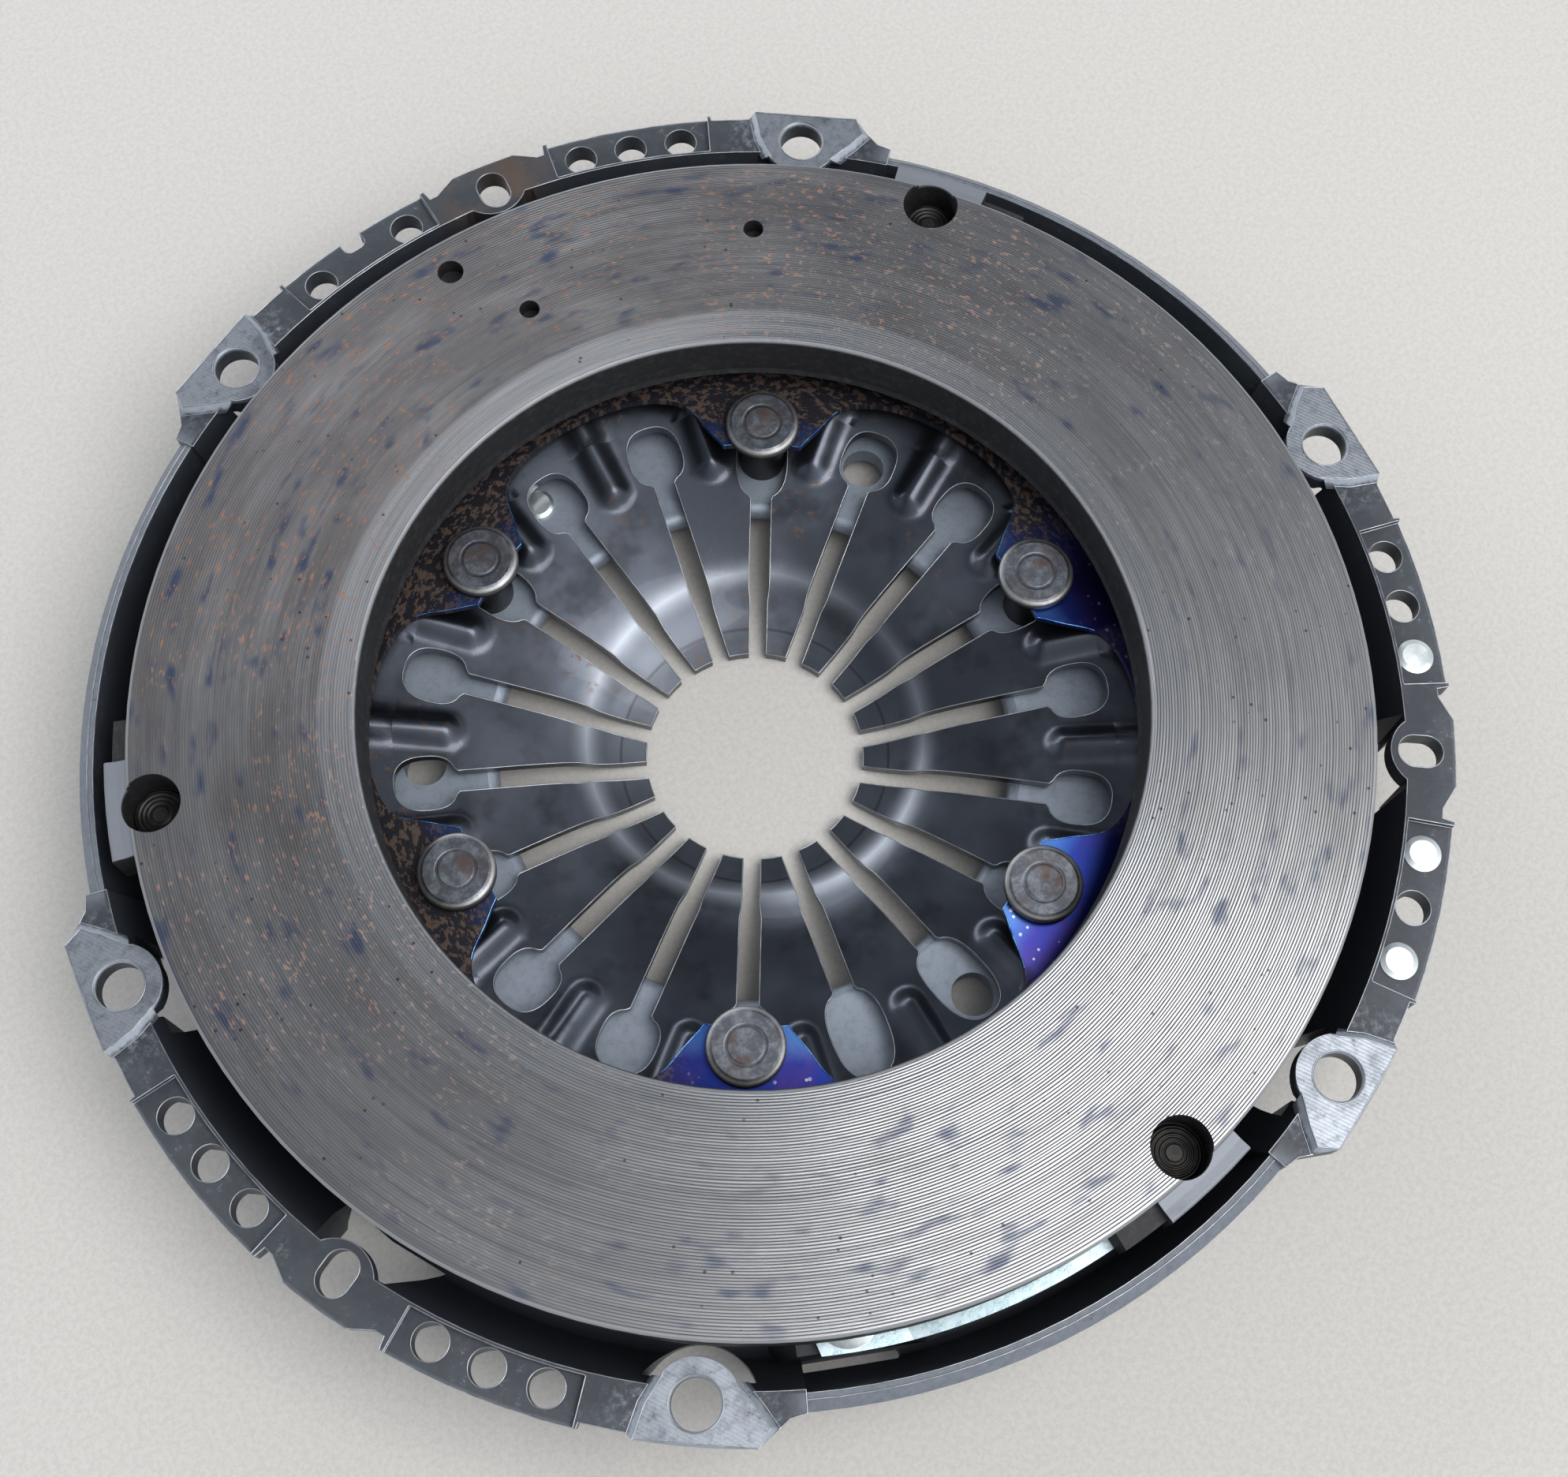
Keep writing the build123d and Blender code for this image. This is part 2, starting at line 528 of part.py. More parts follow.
def keyhole_outline(neck_radius, outer_radius, half_wide):
    """Points round a keyhole from one edge of its neck to the other."""
    side = (
        (neck_radius + 0.6, SLOT_WIDE / 2),
        (neck_radius + 2.1, SLOT_WIDE / 2 + 0.74 * (half_wide - SLOT_WIDE / 2)),
        ((neck_radius + outer_radius) / 2, half_wide),
        (outer_radius - 2.0, half_wide * 0.83),
    )
    return (*side, (outer_radius, 0), *[(x, -y) for x, y in reversed(side)])


KEYHOLE_KINDS = (
    (DISC_NECK_R, BOLT_KEYHOLE_HALF_WIDE, [slot for slot in range(FINGERS) if slot % 3 == 0]),
    (DISC_NECK_R, KEYHOLE_HALF_WIDE, list(LONG_KEYHOLES)),
    (PLAIN_NECK_R, KEYHOLE_HALF_WIDE, [s for s in range(FINGERS) if s % 3 and s not in LONG_KEYHOLES]),
)

with BuildPart() as bead:
    with Locations(BEAD_SLOPE.offset(BEAD_HIGH - BEAD_RADIUS).location):
        Sphere(BEAD_RADIUS)
        Cylinder(
            BEAD_RADIUS, BEAD_END_R - BEAD_START_R, rotation=(-90, 0, 0),
            align=(Align.CENTER, Align.CENTER, Align.MIN),
        )
    split(bisect_by=BEAD_SLOPE.offset(-DISC_THICK / 2), keep=Keep.TOP)

with BuildPart() as main_diaphragm:
    with BuildSketch(radial_plane(0)):
        with BuildLine():
            Polyline(
                (TIP_R, TIP_Z), (KNEE_R, KNEE_Z), (HIP_R, HIP_Z), (DISC_NECK_R, DISC_NECK_Z),
                (DISC_OUTER_R, disc_top(DISC_OUTER_R)), (DISC_OUTER_R, disc_top(DISC_OUTER_R) - DISC_THICK),
                (DISC_NECK_R, DISC_NECK_Z - DISC_THICK), (HIP_R, HIP_Z - DISC_THICK),
                (KNEE_R, KNEE_Z - DISC_THICK), (TIP_R, TIP_Z - DISC_THICK), close=True,
            )
        disc_face = make_face()
        fillet(corner(disc_face, KNEE_R, KNEE_Z), radius=8)
        fillet(corner(disc_face, KNEE_R, KNEE_Z - DISC_THICK), radius=8)
        fillet(corner(disc_face, TIP_R, TIP_Z), radius=0.8)
        fillet(corner(disc_face, DISC_OUTER_R, disc_top(DISC_OUTER_R)), radius=0.8)
        fillet(corner(disc_face, DISC_OUTER_R, disc_top(DISC_OUTER_R) - DISC_THICK), radius=0.8)
    revolve(axis=Axis.Z)

    # Pressed bead along each finger
    with Locations(*[bead_place(finger) for finger in range(FINGERS)]):
        add(bead.part)

    # Slots and keyholes between the fingers
    for neck, half_wide, slots in KEYHOLE_KINDS:
        with BuildSketch() as keyhole:
            with BuildLine():
                side = Spline(*keyhole_outline(neck, KEYHOLE_OUTER_R, half_wide))
                Line(side @ 1, side @ 0)
            make_face()
            with BuildLine():
                Polyline(
                    (TIP_R - 3, TIP_SLOT_WIDE / 2), (SHOULDER_R, TIP_SLOT_WIDE / 2),
                    (SHOULDER_R + SHOULDER_LONG, SLOT_WIDE / 2), (neck + 1.4, SLOT_WIDE / 2),
                    (neck + 1.4, -SLOT_WIDE / 2), (SHOULDER_R + SHOULDER_LONG, -SLOT_WIDE / 2),
                    (SHOULDER_R, -TIP_SLOT_WIDE / 2), (TIP_R - 3, -TIP_SLOT_WIDE / 2), close=True,
                )
            make_face()
        with BuildSketch(Plane.XY.offset(TIP_Z - 8)):
            with Locations(*[Rotation(0, 0, BOLT_ANGLE + slot * 360 / FINGERS) for slot in slots]):
                add(keyhole.sketch)
        extrude(amount=30, mode=Mode.SUBTRACT)


# ---------------------------------------------------------------- sensor diaphragm
TONGUE_HALF_ANGLE = 7.75
SENSOR_SLOT_HALF = SHANK_R + 0.7
SENSOR_WAIST_R = STANDOFF_R + 11.8

HALF_SCALLOP = (
    (SENSOR_TIP_R - 6, TONGUE_HALF_ANGLE - 1.2), (SENSOR_TIP_R + 1.2, TONGUE_HALF_ANGLE + 0.3),
    (STANDOFF_R + 0.7, 10.0), (STANDOFF_R + 7.2, 13.1), (STANDOFF_R + 10.6, 18.5),
)
SCALLOP = (*HALF_SCALLOP, (SENSOR_WAIST_R, 30), *[(r, 60 - a) for r, a in reversed(HALF_SCALLOP)])

with BuildSketch() as scallop:
    with BuildLine():
        waist = Spline(*outline(SCALLOP, 0))
        Line(waist @ 0, waist @ 1)
    make_face()

with BuildPart() as sensor_diaphragm:
    with BuildSketch(radial_plane(0)):
        with BuildLine():
            Polyline(
                (SENSOR_TIP_R - 2, sensor_top(SENSOR_TIP_R - 2)),
                (SENSOR_OUTER_R, sensor_top(SENSOR_OUTER_R)),
                (SENSOR_OUTER_R, sensor_top(SENSOR_OUTER_R) - SENSOR_THICK),
                (SENSOR_TIP_R - 2, sensor_top(SENSOR_TIP_R - 2) - SENSOR_THICK), close=True,
            )
        sensor_face = make_face()
        fillet(corner(sensor_face, SENSOR_OUTER_R, sensor_top(SENSOR_OUTER_R)), radius=0.6)
    revolve(axis=Axis.Z)
    with BuildSketch(Plane.XY.offset(SENSOR_TIP_Z - 12)):
        Circle(SENSOR_OUTER_R + 2)
        Circle(SENSOR_TIP_R, mode=Mode.SUBTRACT)
        with PolarLocations(0, 6, start_angle=BOLT_ANGLE):
            add(scallop.sketch, mode=Mode.SUBTRACT)
        with PolarLocations(STANDOFF_R - 10, 6, start_angle=BOLT_ANGLE):
            Rectangle(20, 2 * SENSOR_SLOT_HALF, mode=Mode.SUBTRACT)
        with PolarLocations(STANDOFF_R, 6, start_angle=BOLT_ANGLE):
            Circle(SENSOR_SLOT_HALF, mode=Mode.SUBTRACT)
    extrude(amount=16, mode=Mode.INTERSECT)


# ---------------------------------------------------------------- adjuster ring
RING_BOTTOM_Z = FLOOR_Z + 3.8
RING_TOP_Z = RING_BOTTOM_Z + 1.8
RIB_Z = disc_top(ADJUSTER_R) - DISC_THICK * sqrt(1 + DISC_SLOPE**2) - GAP
SEAT_PAD_Z = RAMP_LOW_Z + RAMP_SLOPE * (2.0 + SEAT_PAD_HALF) + GAP

with BuildPart() as adjuster_ring:
    with BuildSketch(radial_plane(0)):
        with BuildLine():
            Polyline(
                (ADJUSTER_R - ADJUSTER_HALF_WIDE, RING_BOTTOM_Z),
                (ADJUSTER_R + ADJUSTER_HALF_WIDE, RING_BOTTOM_Z),
                (ADJUSTER_R + ADJUSTER_HALF_WIDE, RING_TOP_Z), (ADJUSTER_R + 1.4, RING_TOP_Z),
                (ADJUSTER_R + 0.7, RIB_Z - 0.15), (ADJUSTER_R, RIB_Z), (ADJUSTER_R - 0.7, RIB_Z - 0.15),
                (ADJUSTER_R - 1.4, RING_TOP_Z), (ADJUSTER_R - ADJUSTER_HALF_WIDE, RING_TOP_Z), close=True,
            )
        make_face()
    revolve(axis=Axis.Z)
    seat_angles = [angle - ADJUSTER_TURN / 2 for angle in ramp_angles]
    with BuildSketch(*[tangent_plane(ADJUSTER_R - RAMP_HALF_WIDE, angle) for angle in seat_angles]):
        with Locations((0, (SEAT_PAD_Z + RING_BOTTOM_Z) / 2 + 0.25)):
            Rectangle(2 * SEAT_PAD_HALF, RING_BOTTOM_Z - SEAT_PAD_Z + 0.5)
    extrude(amount=2 * RAMP_HALF_WIDE)
    with BuildSketch(*[tangent_plane(SPRING_MID_R - 6.3, angle) for angle in SPRING_MID_ANGLES]):
        with Locations((SPRING_CHORD / 2, SPRING_Z)):
            Rectangle(SPRING_STOP_THICK, 4.4)
    extrude(amount=10)


# ---------------------------------------------------------------- write the single pieces
finish(cover, "cover")
finish(pressure_plate, "pressure_plate")
finish(main_diaphragm, "main_diaphragm")
finish(sensor_diaphragm, "sensor_diaphragm")
finish(adjuster_ring, "adjuster_ring")


# ---------------------------------------------------------------- stand-off bolts
for bolt in range(6):
    with BuildPart() as standoff_bolt:
        with BuildSketch(spot_plane(STANDOFF_R, BOLT_ANGLE + 60 * bolt)):
            with BuildLine():
                Polyline(
                    (0, HEAD_TOP_Z), (HEAD_R - 1.3, HEAD_TOP_Z), (HEAD_R, HEAD_TOP_Z - 0.6),
                    (HEAD_R, HEAD_TOP_Z - HEAD_THICK), (SHANK_R, HEAD_TOP_Z - HEAD_THICK),
                    (SHANK_R, FLOOR_Z), (TAIL_R, FLOOR_Z), (TAIL_R, COVER_BACK_Z), (HEAD_R, COVER_BACK_Z),
                    (HEAD_R - 0.6, COVER_BACK_Z - 2.4), (HEAD_R - 3.2, COVER_BACK_Z - TAIL_HEAD_THICK),
                    (0, COVER_BACK_Z - TAIL_HEAD_THICK), close=True,
                )
            bolt_face = make_face()
            fillet(corner(bolt_face, HEAD_R, HEAD_TOP_Z - 0.6), radius=0.7)
            fillet(corner(bolt_face, HEAD_R - 0.6, COVER_BACK_Z - 2.4), radius=1.2)
        revolve(axis=spot_axis(STANDOFF_R, BOLT_ANGLE + 60 * bolt))
    finish(standoff_bolt, f"standoff_bolt_{bolt + 1}")


# ---------------------------------------------------------------- drive straps and their rivets
STRAP_MID_ANGLE = STRAP_COVER_ANGLE + STRAP_TURN / 2
STRAP_REACH = RIVET_R * sin(radians(STRAP_TURN / 2))
STRAP_END = 7.2
STRAP_FLAT = 9.0
STRAP_HOLE_FIT = 0.35
PLATE_RIVET_Z = STRAP_PLATE_Z - STRAP_PACK - GAP

for lug in range(3):
    strap_frame = tangent_plane(RIVET_R - 18, STRAP_MID_ANGLE + 120 * lug)
    for layer in range(STRAPS):
        cover_z = STRAP_COVER_Z - layer * STRAP_THICK
        plate_z = STRAP_PLATE_Z - layer * STRAP_THICK
        with BuildPart() as strap:
            with BuildSketch(strap_frame):
                with BuildLine():
                    Polyline(
                        (-STRAP_REACH - STRAP_END, cover_z), (-STRAP_REACH + STRAP_FLAT, cover_z),
                        (STRAP_REACH - STRAP_FLAT, plate_z), (STRAP_REACH + STRAP_END, plate_z),
                        (STRAP_REACH + STRAP_END, plate_z - STRAP_THICK),
                        (STRAP_REACH - STRAP_FLAT, plate_z - STRAP_THICK),
                        (-STRAP_REACH + STRAP_FLAT, cover_z - STRAP_THICK),
                        (-STRAP_REACH - STRAP_END, cover_z - STRAP_THICK), close=True,
                    )
                make_face()
            extrude(amount=30)
            with BuildSketch(Plane.XY.offset(STRAP_COVER_Z - 8)) as strap_plan:
                Circle(RIVET_R + STRAP_HALF_WIDE)
                Circle(RIVET_R - STRAP_HALF_WIDE, mode=Mode.SUBTRACT)
                with PolarLocations(RIVET_R, 1, start_angle=STRAP_MID_ANGLE + 120 * lug):
                    RectangleRounded(40, 2 * (STRAP_REACH + STRAP_END), 4, mode=Mode.INTERSECT)
                for end, hole_fit in ((STRAP_COVER_ANGLE, FIT), (LUG_ANGLE, STRAP_HOLE_FIT)):
                    with Locations(polar(RIVET_R, end + 120 * lug)):
                        Circle(RIVET_SHANK_R + hole_fit, mode=Mode.SUBTRACT)
            extrude(amount=16, mode=Mode.INTERSECT)
        finish(strap, f"drive_strap_{lug + 1}_{layer + 1}")

for lug in range(3):
    with BuildPart() as cover_rivet:
        with BuildSketch(spot_plane(RIVET_R, STRAP_COVER_ANGLE + 120 * lug)):
            with BuildLine():
                Polyline(
                    (0, STRAP_COVER_Z + 1.9), (COVER_RIVET_HEAD_R - 2.2, STRAP_COVER_Z + 1.7),
                    (COVER_RIVET_HEAD_R, STRAP_COVER_Z + 0.7), (COVER_RIVET_HEAD_R, STRAP_COVER_Z),
                    (RIVET_SHANK_R, STRAP_COVER_Z), (RIVET_SHANK_R, STRAP_PAD_Z - SHEET),
                    (0, STRAP_PAD_Z - SHEET), close=True,
                )
            make_face()
        revolve(axis=spot_axis(RIVET_R, STRAP_COVER_ANGLE + 120 * lug))
    finish(cover_rivet, f"cover_strap_rivet_{lug + 1}")

for lug in range(3):
    with BuildPart() as plate_rivet:
        with BuildSketch(spot_plane(RIVET_R, LUG_ANGLE + 120 * lug)):
            with BuildLine():
                Polyline(
                    (0, RECESS_FLOOR_Z + 1.5), (1.5, RECESS_FLOOR_Z + 1.5), (2.0, RECESS_FLOOR_Z + 1.2),
                    (RECESS_R - 0.9, RECESS_FLOOR_Z + 1.2), (RECESS_R - 0.4, RECESS_FLOOR_Z + 0.7),
                    (RECESS_R - 0.4, RECESS_FLOOR_Z), (RIVET_SHANK_R, RECESS_FLOOR_Z),
                    (RIVET_SHANK_R, PLATE_RIVET_Z), (6.0, PLATE_RIVET_Z), (6.0, PLATE_RIVET_Z - 1.0),
                    (4.6, PLATE_RIVET_Z - 1.8), (0, PLATE_RIVET_Z - 1.8), close=True,
                )
            make_face()
        revolve(axis=spot_axis(RIVET_R, LUG_ANGLE + 120 * lug))
    finish(plate_rivet, f"plate_strap_rivet_{lug + 1}")


# ---------------------------------------------------------------- balance rivets and the stop pin
BALANCE_RIVET_ANGLES = (311.5, 321.1, 338.9)
for count, angle in enumerate(BALANCE_RIVET_ANGLES, 1):
    with BuildPart() as balance_rivet:
        with BuildSketch(spot_plane(BALANCE_R, angle)):
            with BuildLine():
                Polyline(
                    (0, PAD_Z + 0.75), (2.6, PAD_Z + 0.7), (3.6, PAD_Z + 0.3), (3.6, PAD_Z),
                    (BALANCE_HOLE_R - 0.1, PAD_Z),
                    (BALANCE_HOLE_R - 0.1, PAD_Z - SHEET - 1.0), (BALANCE_HOLE_R - 0.8, PAD_Z - SHEET - 1.6),
                    (0, PAD_Z - SHEET - 1.6), close=True,
                )
            make_face()
        revolve(axis=spot_axis(BALANCE_R, angle))
    finish(balance_rivet, f"balance_rivet_{count}")

with BuildPart() as stop_pin:
    with BuildSketch(spot_plane(PIN_R, PIN_ANGLE)):
        with BuildLine():
            Polyline(
                (0, FLOOR_Z + 1.3), (2.6, FLOOR_Z + 1.2), (3.4, FLOOR_Z + 0.7), (3.4, FLOOR_Z),
                (PIN_BODY_R, FLOOR_Z), (PIN_BODY_R, COVER_BACK_Z), (3.6, COVER_BACK_Z),
                (3.2, COVER_BACK_Z - 1.3), (0, COVER_BACK_Z - 1.5), close=True,
            )
        make_face()
    revolve(axis=spot_axis(PIN_R, PIN_ANGLE))
finish(stop_pin, "stop_pin")


# ---------------------------------------------------------------- adjuster springs
SPRING_LENGTH = SPRING_CHORD - SPRING_STOP_THICK - 2 * WIRE_R - 2 * SPRING_END_GAP
SPRING_TURNS = 6
for count, spring_angle in enumerate(SPRING_MID_ANGLES, 1):
    along = Vector(*polar(1, spring_angle + 90), 0)
    middle = Vector(*polar(SPRING_MID_R, spring_angle), SPRING_Z)
    with BuildPart() as adjuster_spring:
        with BuildLine() as coil:
            Helix(
                pitch=SPRING_LENGTH / SPRING_TURNS, height=SPRING_LENGTH, radius=SPRING_COIL_R,
                center=middle - along * (SPRING_LENGTH / 2), direction=along,
            )
        with BuildSketch(Plane(origin=coil.line @ 0, z_dir=coil.line % 0)):
            RegularPolygon(WIRE_R, 6)
        sweep()
    finish(adjuster_spring, f"adjuster_spring_{count}")
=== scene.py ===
"""Dresses a clutch pressure plate: a grooved iron plate, sprung finger discs and a painted cover.

Lengths are millimetres in the dataclasses and metres in the meshes. The frame is the CAD
model's: origin at the centre of the mounting bolts, +Z towards the flywheel.
"""

from __future__ import annotations

import logging
from collections.abc import Sequence
from dataclasses import dataclass
from enum import Enum

import bpy
import numpy as np
from mathutils import Matrix, Vector

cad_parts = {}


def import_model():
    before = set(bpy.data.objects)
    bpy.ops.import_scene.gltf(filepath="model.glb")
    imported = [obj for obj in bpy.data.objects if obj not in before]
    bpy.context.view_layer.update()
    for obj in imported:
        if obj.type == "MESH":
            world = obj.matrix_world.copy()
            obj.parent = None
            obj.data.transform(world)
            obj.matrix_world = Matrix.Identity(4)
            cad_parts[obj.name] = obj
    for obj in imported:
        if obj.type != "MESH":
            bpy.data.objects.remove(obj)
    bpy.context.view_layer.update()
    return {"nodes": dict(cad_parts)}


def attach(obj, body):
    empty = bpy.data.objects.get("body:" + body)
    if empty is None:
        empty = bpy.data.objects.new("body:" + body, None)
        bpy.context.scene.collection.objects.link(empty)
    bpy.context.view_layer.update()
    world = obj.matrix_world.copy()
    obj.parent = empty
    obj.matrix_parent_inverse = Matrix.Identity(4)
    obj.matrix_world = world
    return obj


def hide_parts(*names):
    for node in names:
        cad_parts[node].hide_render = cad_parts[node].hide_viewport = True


LOG = logging.getLogger("clutch")
MM = 0.001
DEGREES = float(np.degrees(1))  # in a radian
RADIANS = float(np.radians(1))  # in a degree
FIRST_BOLT = 3.07  # angle of the first stand-off bolt and of the first slot
BOLT_PITCH = 60.0
Colour = tuple[float, float, float]
Place = tuple[float, float, float]
Grid = tuple[np.ndarray, np.ndarray]  # vertices (mm) and faces


class MaterialSlot(str, Enum):
    """The slots of the record that pieces made here belong to."""

    COVER = "cover_paint"
    FINGERS = "spring_steel"
    SENSOR = "sensor_coating"
    ZINC = "zinc_plate"


# ---- shader expressions
class Value:
    """One number that varies over a surface, for writing shader maths as Python expressions."""

    def __init__(self, graph: Graph, socket: bpy.types.NodeSocket) -> None:
        """Wraps an output socket of a graph."""
        self.graph = graph
        self.socket = socket

    def __add__(self, other: Value | float) -> Value:
        """Sum."""
        return self.graph.math("ADD", self, other)

    def __radd__(self, other: float) -> Value:
        """Sum with a number on the left."""
        return self.graph.math("ADD", other, self)

    def __sub__(self, other: Value | float) -> Value:
        """Difference."""
        return self.graph.math("SUBTRACT", self, other)

    def __rsub__(self, other: float) -> Value:
        """Difference from a number on the left."""
        return self.graph.math("SUBTRACT", other, self)

    def __mul__(self, other: Value | float) -> Value:
        """Product."""
        return self.graph.math("MULTIPLY", self, other)

    def __truediv__(self, other: Value | float) -> Value:
        """Quotient."""
        return self.graph.math("DIVIDE", self, other)

    def __abs__(self) -> Value:
        """Size without sign."""
        return self.graph.math("ABSOLUTE", self)

    def sine(self) -> Value:
        """Sine, in radians."""
        return self.graph.math("SINE", self)

    def hypotenuse(self, other: Value) -> Value:
        """Square root of the two squares' sum."""
        return self.graph.math("POWER", self * self + other * other, 0.5)

    def wrap(self, period: float) -> Value:
        """Distance from the nearest whole multiple of a period."""
        folded = self.graph.math("FLOORED_MODULO", self + period / 2, period)
        return abs(folded - period / 2)

    def step(self, start: float, end: float) -> Value:
        """Smooth rise over a stretch of the value.

        Args:
            start: where it leaves 0.
            end: where it reaches 1; less than start for a fall.

        Returns:
            The rise.
        """
        low, high = min(start, end), max(start, end)
        settings = {"interpolation_type": "SMOOTHSTEP"}
        inputs = {"Value": self, "From Min": low, "From Max": high}
        rise = self.graph.node("ShaderNodeMapRange", settings, inputs)
        return rise if end >= start else 1 - rise

    def band(self, low: float, high: float, soft: float) -> Value:
        """1 between two limits, with soft edges outside them."""
        return self.step(low - soft, low) * self.step(high + soft, high)

    def most(self, other: Value | float) -> Value:
        """The larger of two."""
        return self.graph.math("MAXIMUM", self, other)

    def clamp(self) -> Value:
        """Held between 0 and 1."""
        return self.graph.math("ADD", self, 0.0, clamp=True)


class Graph:
    """A node tree that shader maths is written into."""

    def __init__(self, tree: bpy.types.NodeTree) -> None:
        """Wraps a tree, which keeps the nodes it has."""
        self.tree = tree

    def node(self, kind: str, settings: dict, inputs: dict, output: int | str = 0) -> Value:
        """Adds any node.

        Args:
            kind: the node's type.
            settings: attributes that are set first.
            inputs: socket name or index to a value, a colour or a number.
            output: which result is wanted.

        Returns:
            The wanted output.
        """
        made = self.tree.nodes.new(kind)
        for key, setting in settings.items():
            setattr(made, key, setting)
        for key, given in inputs.items():
            if isinstance(given, Value):
                self.tree.links.new(given.socket, made.inputs[key])
            else:
                made.inputs[key].default_value = given
        return Value(self, made.outputs[output])

    def math(self, operation: str, *operands: Value | float, clamp: bool = False) -> Value:
        """Adds a Math node.

        Args:
            operation: the node's operation.
            operands: its inputs, in order.
            clamp: whether the result is held between 0 and 1.

        Returns:
            The node's result.
        """
        settings = {"operation": operation, "use_clamp": clamp}
        return self.node("ShaderNodeMath", settings, dict(enumerate(operands)))

    def split(self, vector: Value) -> tuple[Value, Value, Value]:
        """The x, y and z of a vector."""
        parts = self.node("ShaderNodeSeparateXYZ", {}, {0: vector}).socket.node.outputs
        return tuple(Value(self, part) for part in parts)

    def mix(self, mask: Value | float, under: Value | Colour, over: Value | Colour) -> Value:
        """Lays one colour over another.

        Args:
            mask: how much of the upper colour shows.
            under: the lower colour.
            over: the upper colour.

        Returns:
            The mixed colour.
        """
        settings = {"data_type": "RGBA", "clamp_factor": True}
        full = [c if isinstance(c, Value) else (*c, 1.0) for c in (under, over)]
        return self.node("ShaderNodeMix", settings, {0: mask, 6: full[0], 7: full[1]}, 2)


class MaterialGraph(Graph):
    """A material's node tree, with the places and patterns that a round part needs."""

    def __init__(self, name: str) -> None:
        """Starts a material with a Principled shader.

        Args:
            name: the material's name.
        """
        self.material = bpy.data.materials.new(name)
        self.material.use_nodes = True
        super().__init__(self.material.node_tree)
        self.tree.nodes.clear()
        self.shader = self.tree.nodes.new("ShaderNodeBsdfPrincipled")
        output = self.tree.nodes.new("ShaderNodeOutputMaterial")
        self.tree.links.new(self.shader.outputs["BSDF"], output.inputs["Surface"])

    def where(self) -> Value:
        """Position on the part in metres, as a vector."""
        return self.node("ShaderNodeTexCoord", {}, {}, "Object")

    def place(self) -> tuple[Value, Value, Value]:
        """Position on the part in millimetres: x, y and z."""
        return tuple(axis * (1 / MM) for axis in self.split(self.where()))

    def round_place(self) -> tuple[Value, Value, Value]:
        """Position on the part as radius (mm), angle (degrees) and height (mm)."""
        x, y, z = self.place()
        return x.hypotenuse(y), self.math("ARCTAN2", y, x) * DEGREES, z

    def vector(self, x: Value | float, y: Value | float, z: Value | float) -> Value:
        """Joins three values into a vector."""
        return self.node("ShaderNodeCombineXYZ", {}, {0: x, 1: y, 2: z})

    def noise(
        self, scale: float, detail: float = 4.0, rough: float = 0.6, at: Value | None = None
    ) -> Value:
        """Cloudy noise around 0.5.

        Args:
            scale: features per metre, or per unit of the vector given.
            detail: octaves.
            rough: strength of the fine octaves.
            at: the vector to read; the position on the part if left out.

        Returns:
            The noise.
        """
        where = at or self.where()
        inputs = {"Vector": where, "Scale": scale, "Detail": detail, "Roughness": rough}
        return self.node("ShaderNodeTexNoise", {}, inputs)

    def specks(self, scale: float, size: float, soft: float = 0.04) -> Value:
        """Scattered round specks, 1 inside them.

        Args:
            scale: specks per metre.
            size: their radius as a share of the spacing.
            soft: width of their edges.

        Returns:
            The mask.
        """
        inputs = {"Vector": self.where(), "Scale": scale, "Randomness": 1.0}
        cells = self.node("ShaderNodeTexVoronoi", {"feature": "F1"}, inputs)
        return cells.step(size + soft, size)

    def streaks(self, per_mm: float, turns: float = 2.0, detail: float = 3.0) -> Value:
        """Noise drawn out round the axis, as turning leaves it.

        Args:
            per_mm: features per millimetre of radius.
            turns: features round the circle.
            detail: octaves.

        Returns:
            The noise.
        """
        x, y, _ = self.place()
        radius = x.hypotenuse(y)
        at = self.vector(radius * per_mm, x / radius * turns, y / radius * turns)
        return self.noise(1.0, detail, 0.65, at)

    def bump(self, height: Value, distance: float, strength: float = 1.0) -> Value:
        """Turns a height in 0..1 into a normal.

        Args:
            height: the relief.
            distance: its depth in millimetres.
            strength: how much of it shows.

        Returns:
            The normal.
        """
        inputs = {"Height": height, "Distance": distance * MM, "Strength": strength}
        return self.node("ShaderNodeBump", {}, inputs)

    def finish(self, **sockets: Value | float | Colour) -> bpy.types.Material:
        """Sets the shader's sockets and gives the material.

        Args:
            sockets: socket names, with underscores for spaces, to what goes in.

        Returns:
            The material.
        """
        for key, given in sockets.items():
            socket = self.shader.inputs[key.replace("_", " ")]
            if isinstance(given, Value):
                self.tree.links.new(given.socket, socket)
            elif isinstance(given, tuple):
                socket.default_value = (*given, 1.0)
            else:
                socket.default_value = given
        return self.material


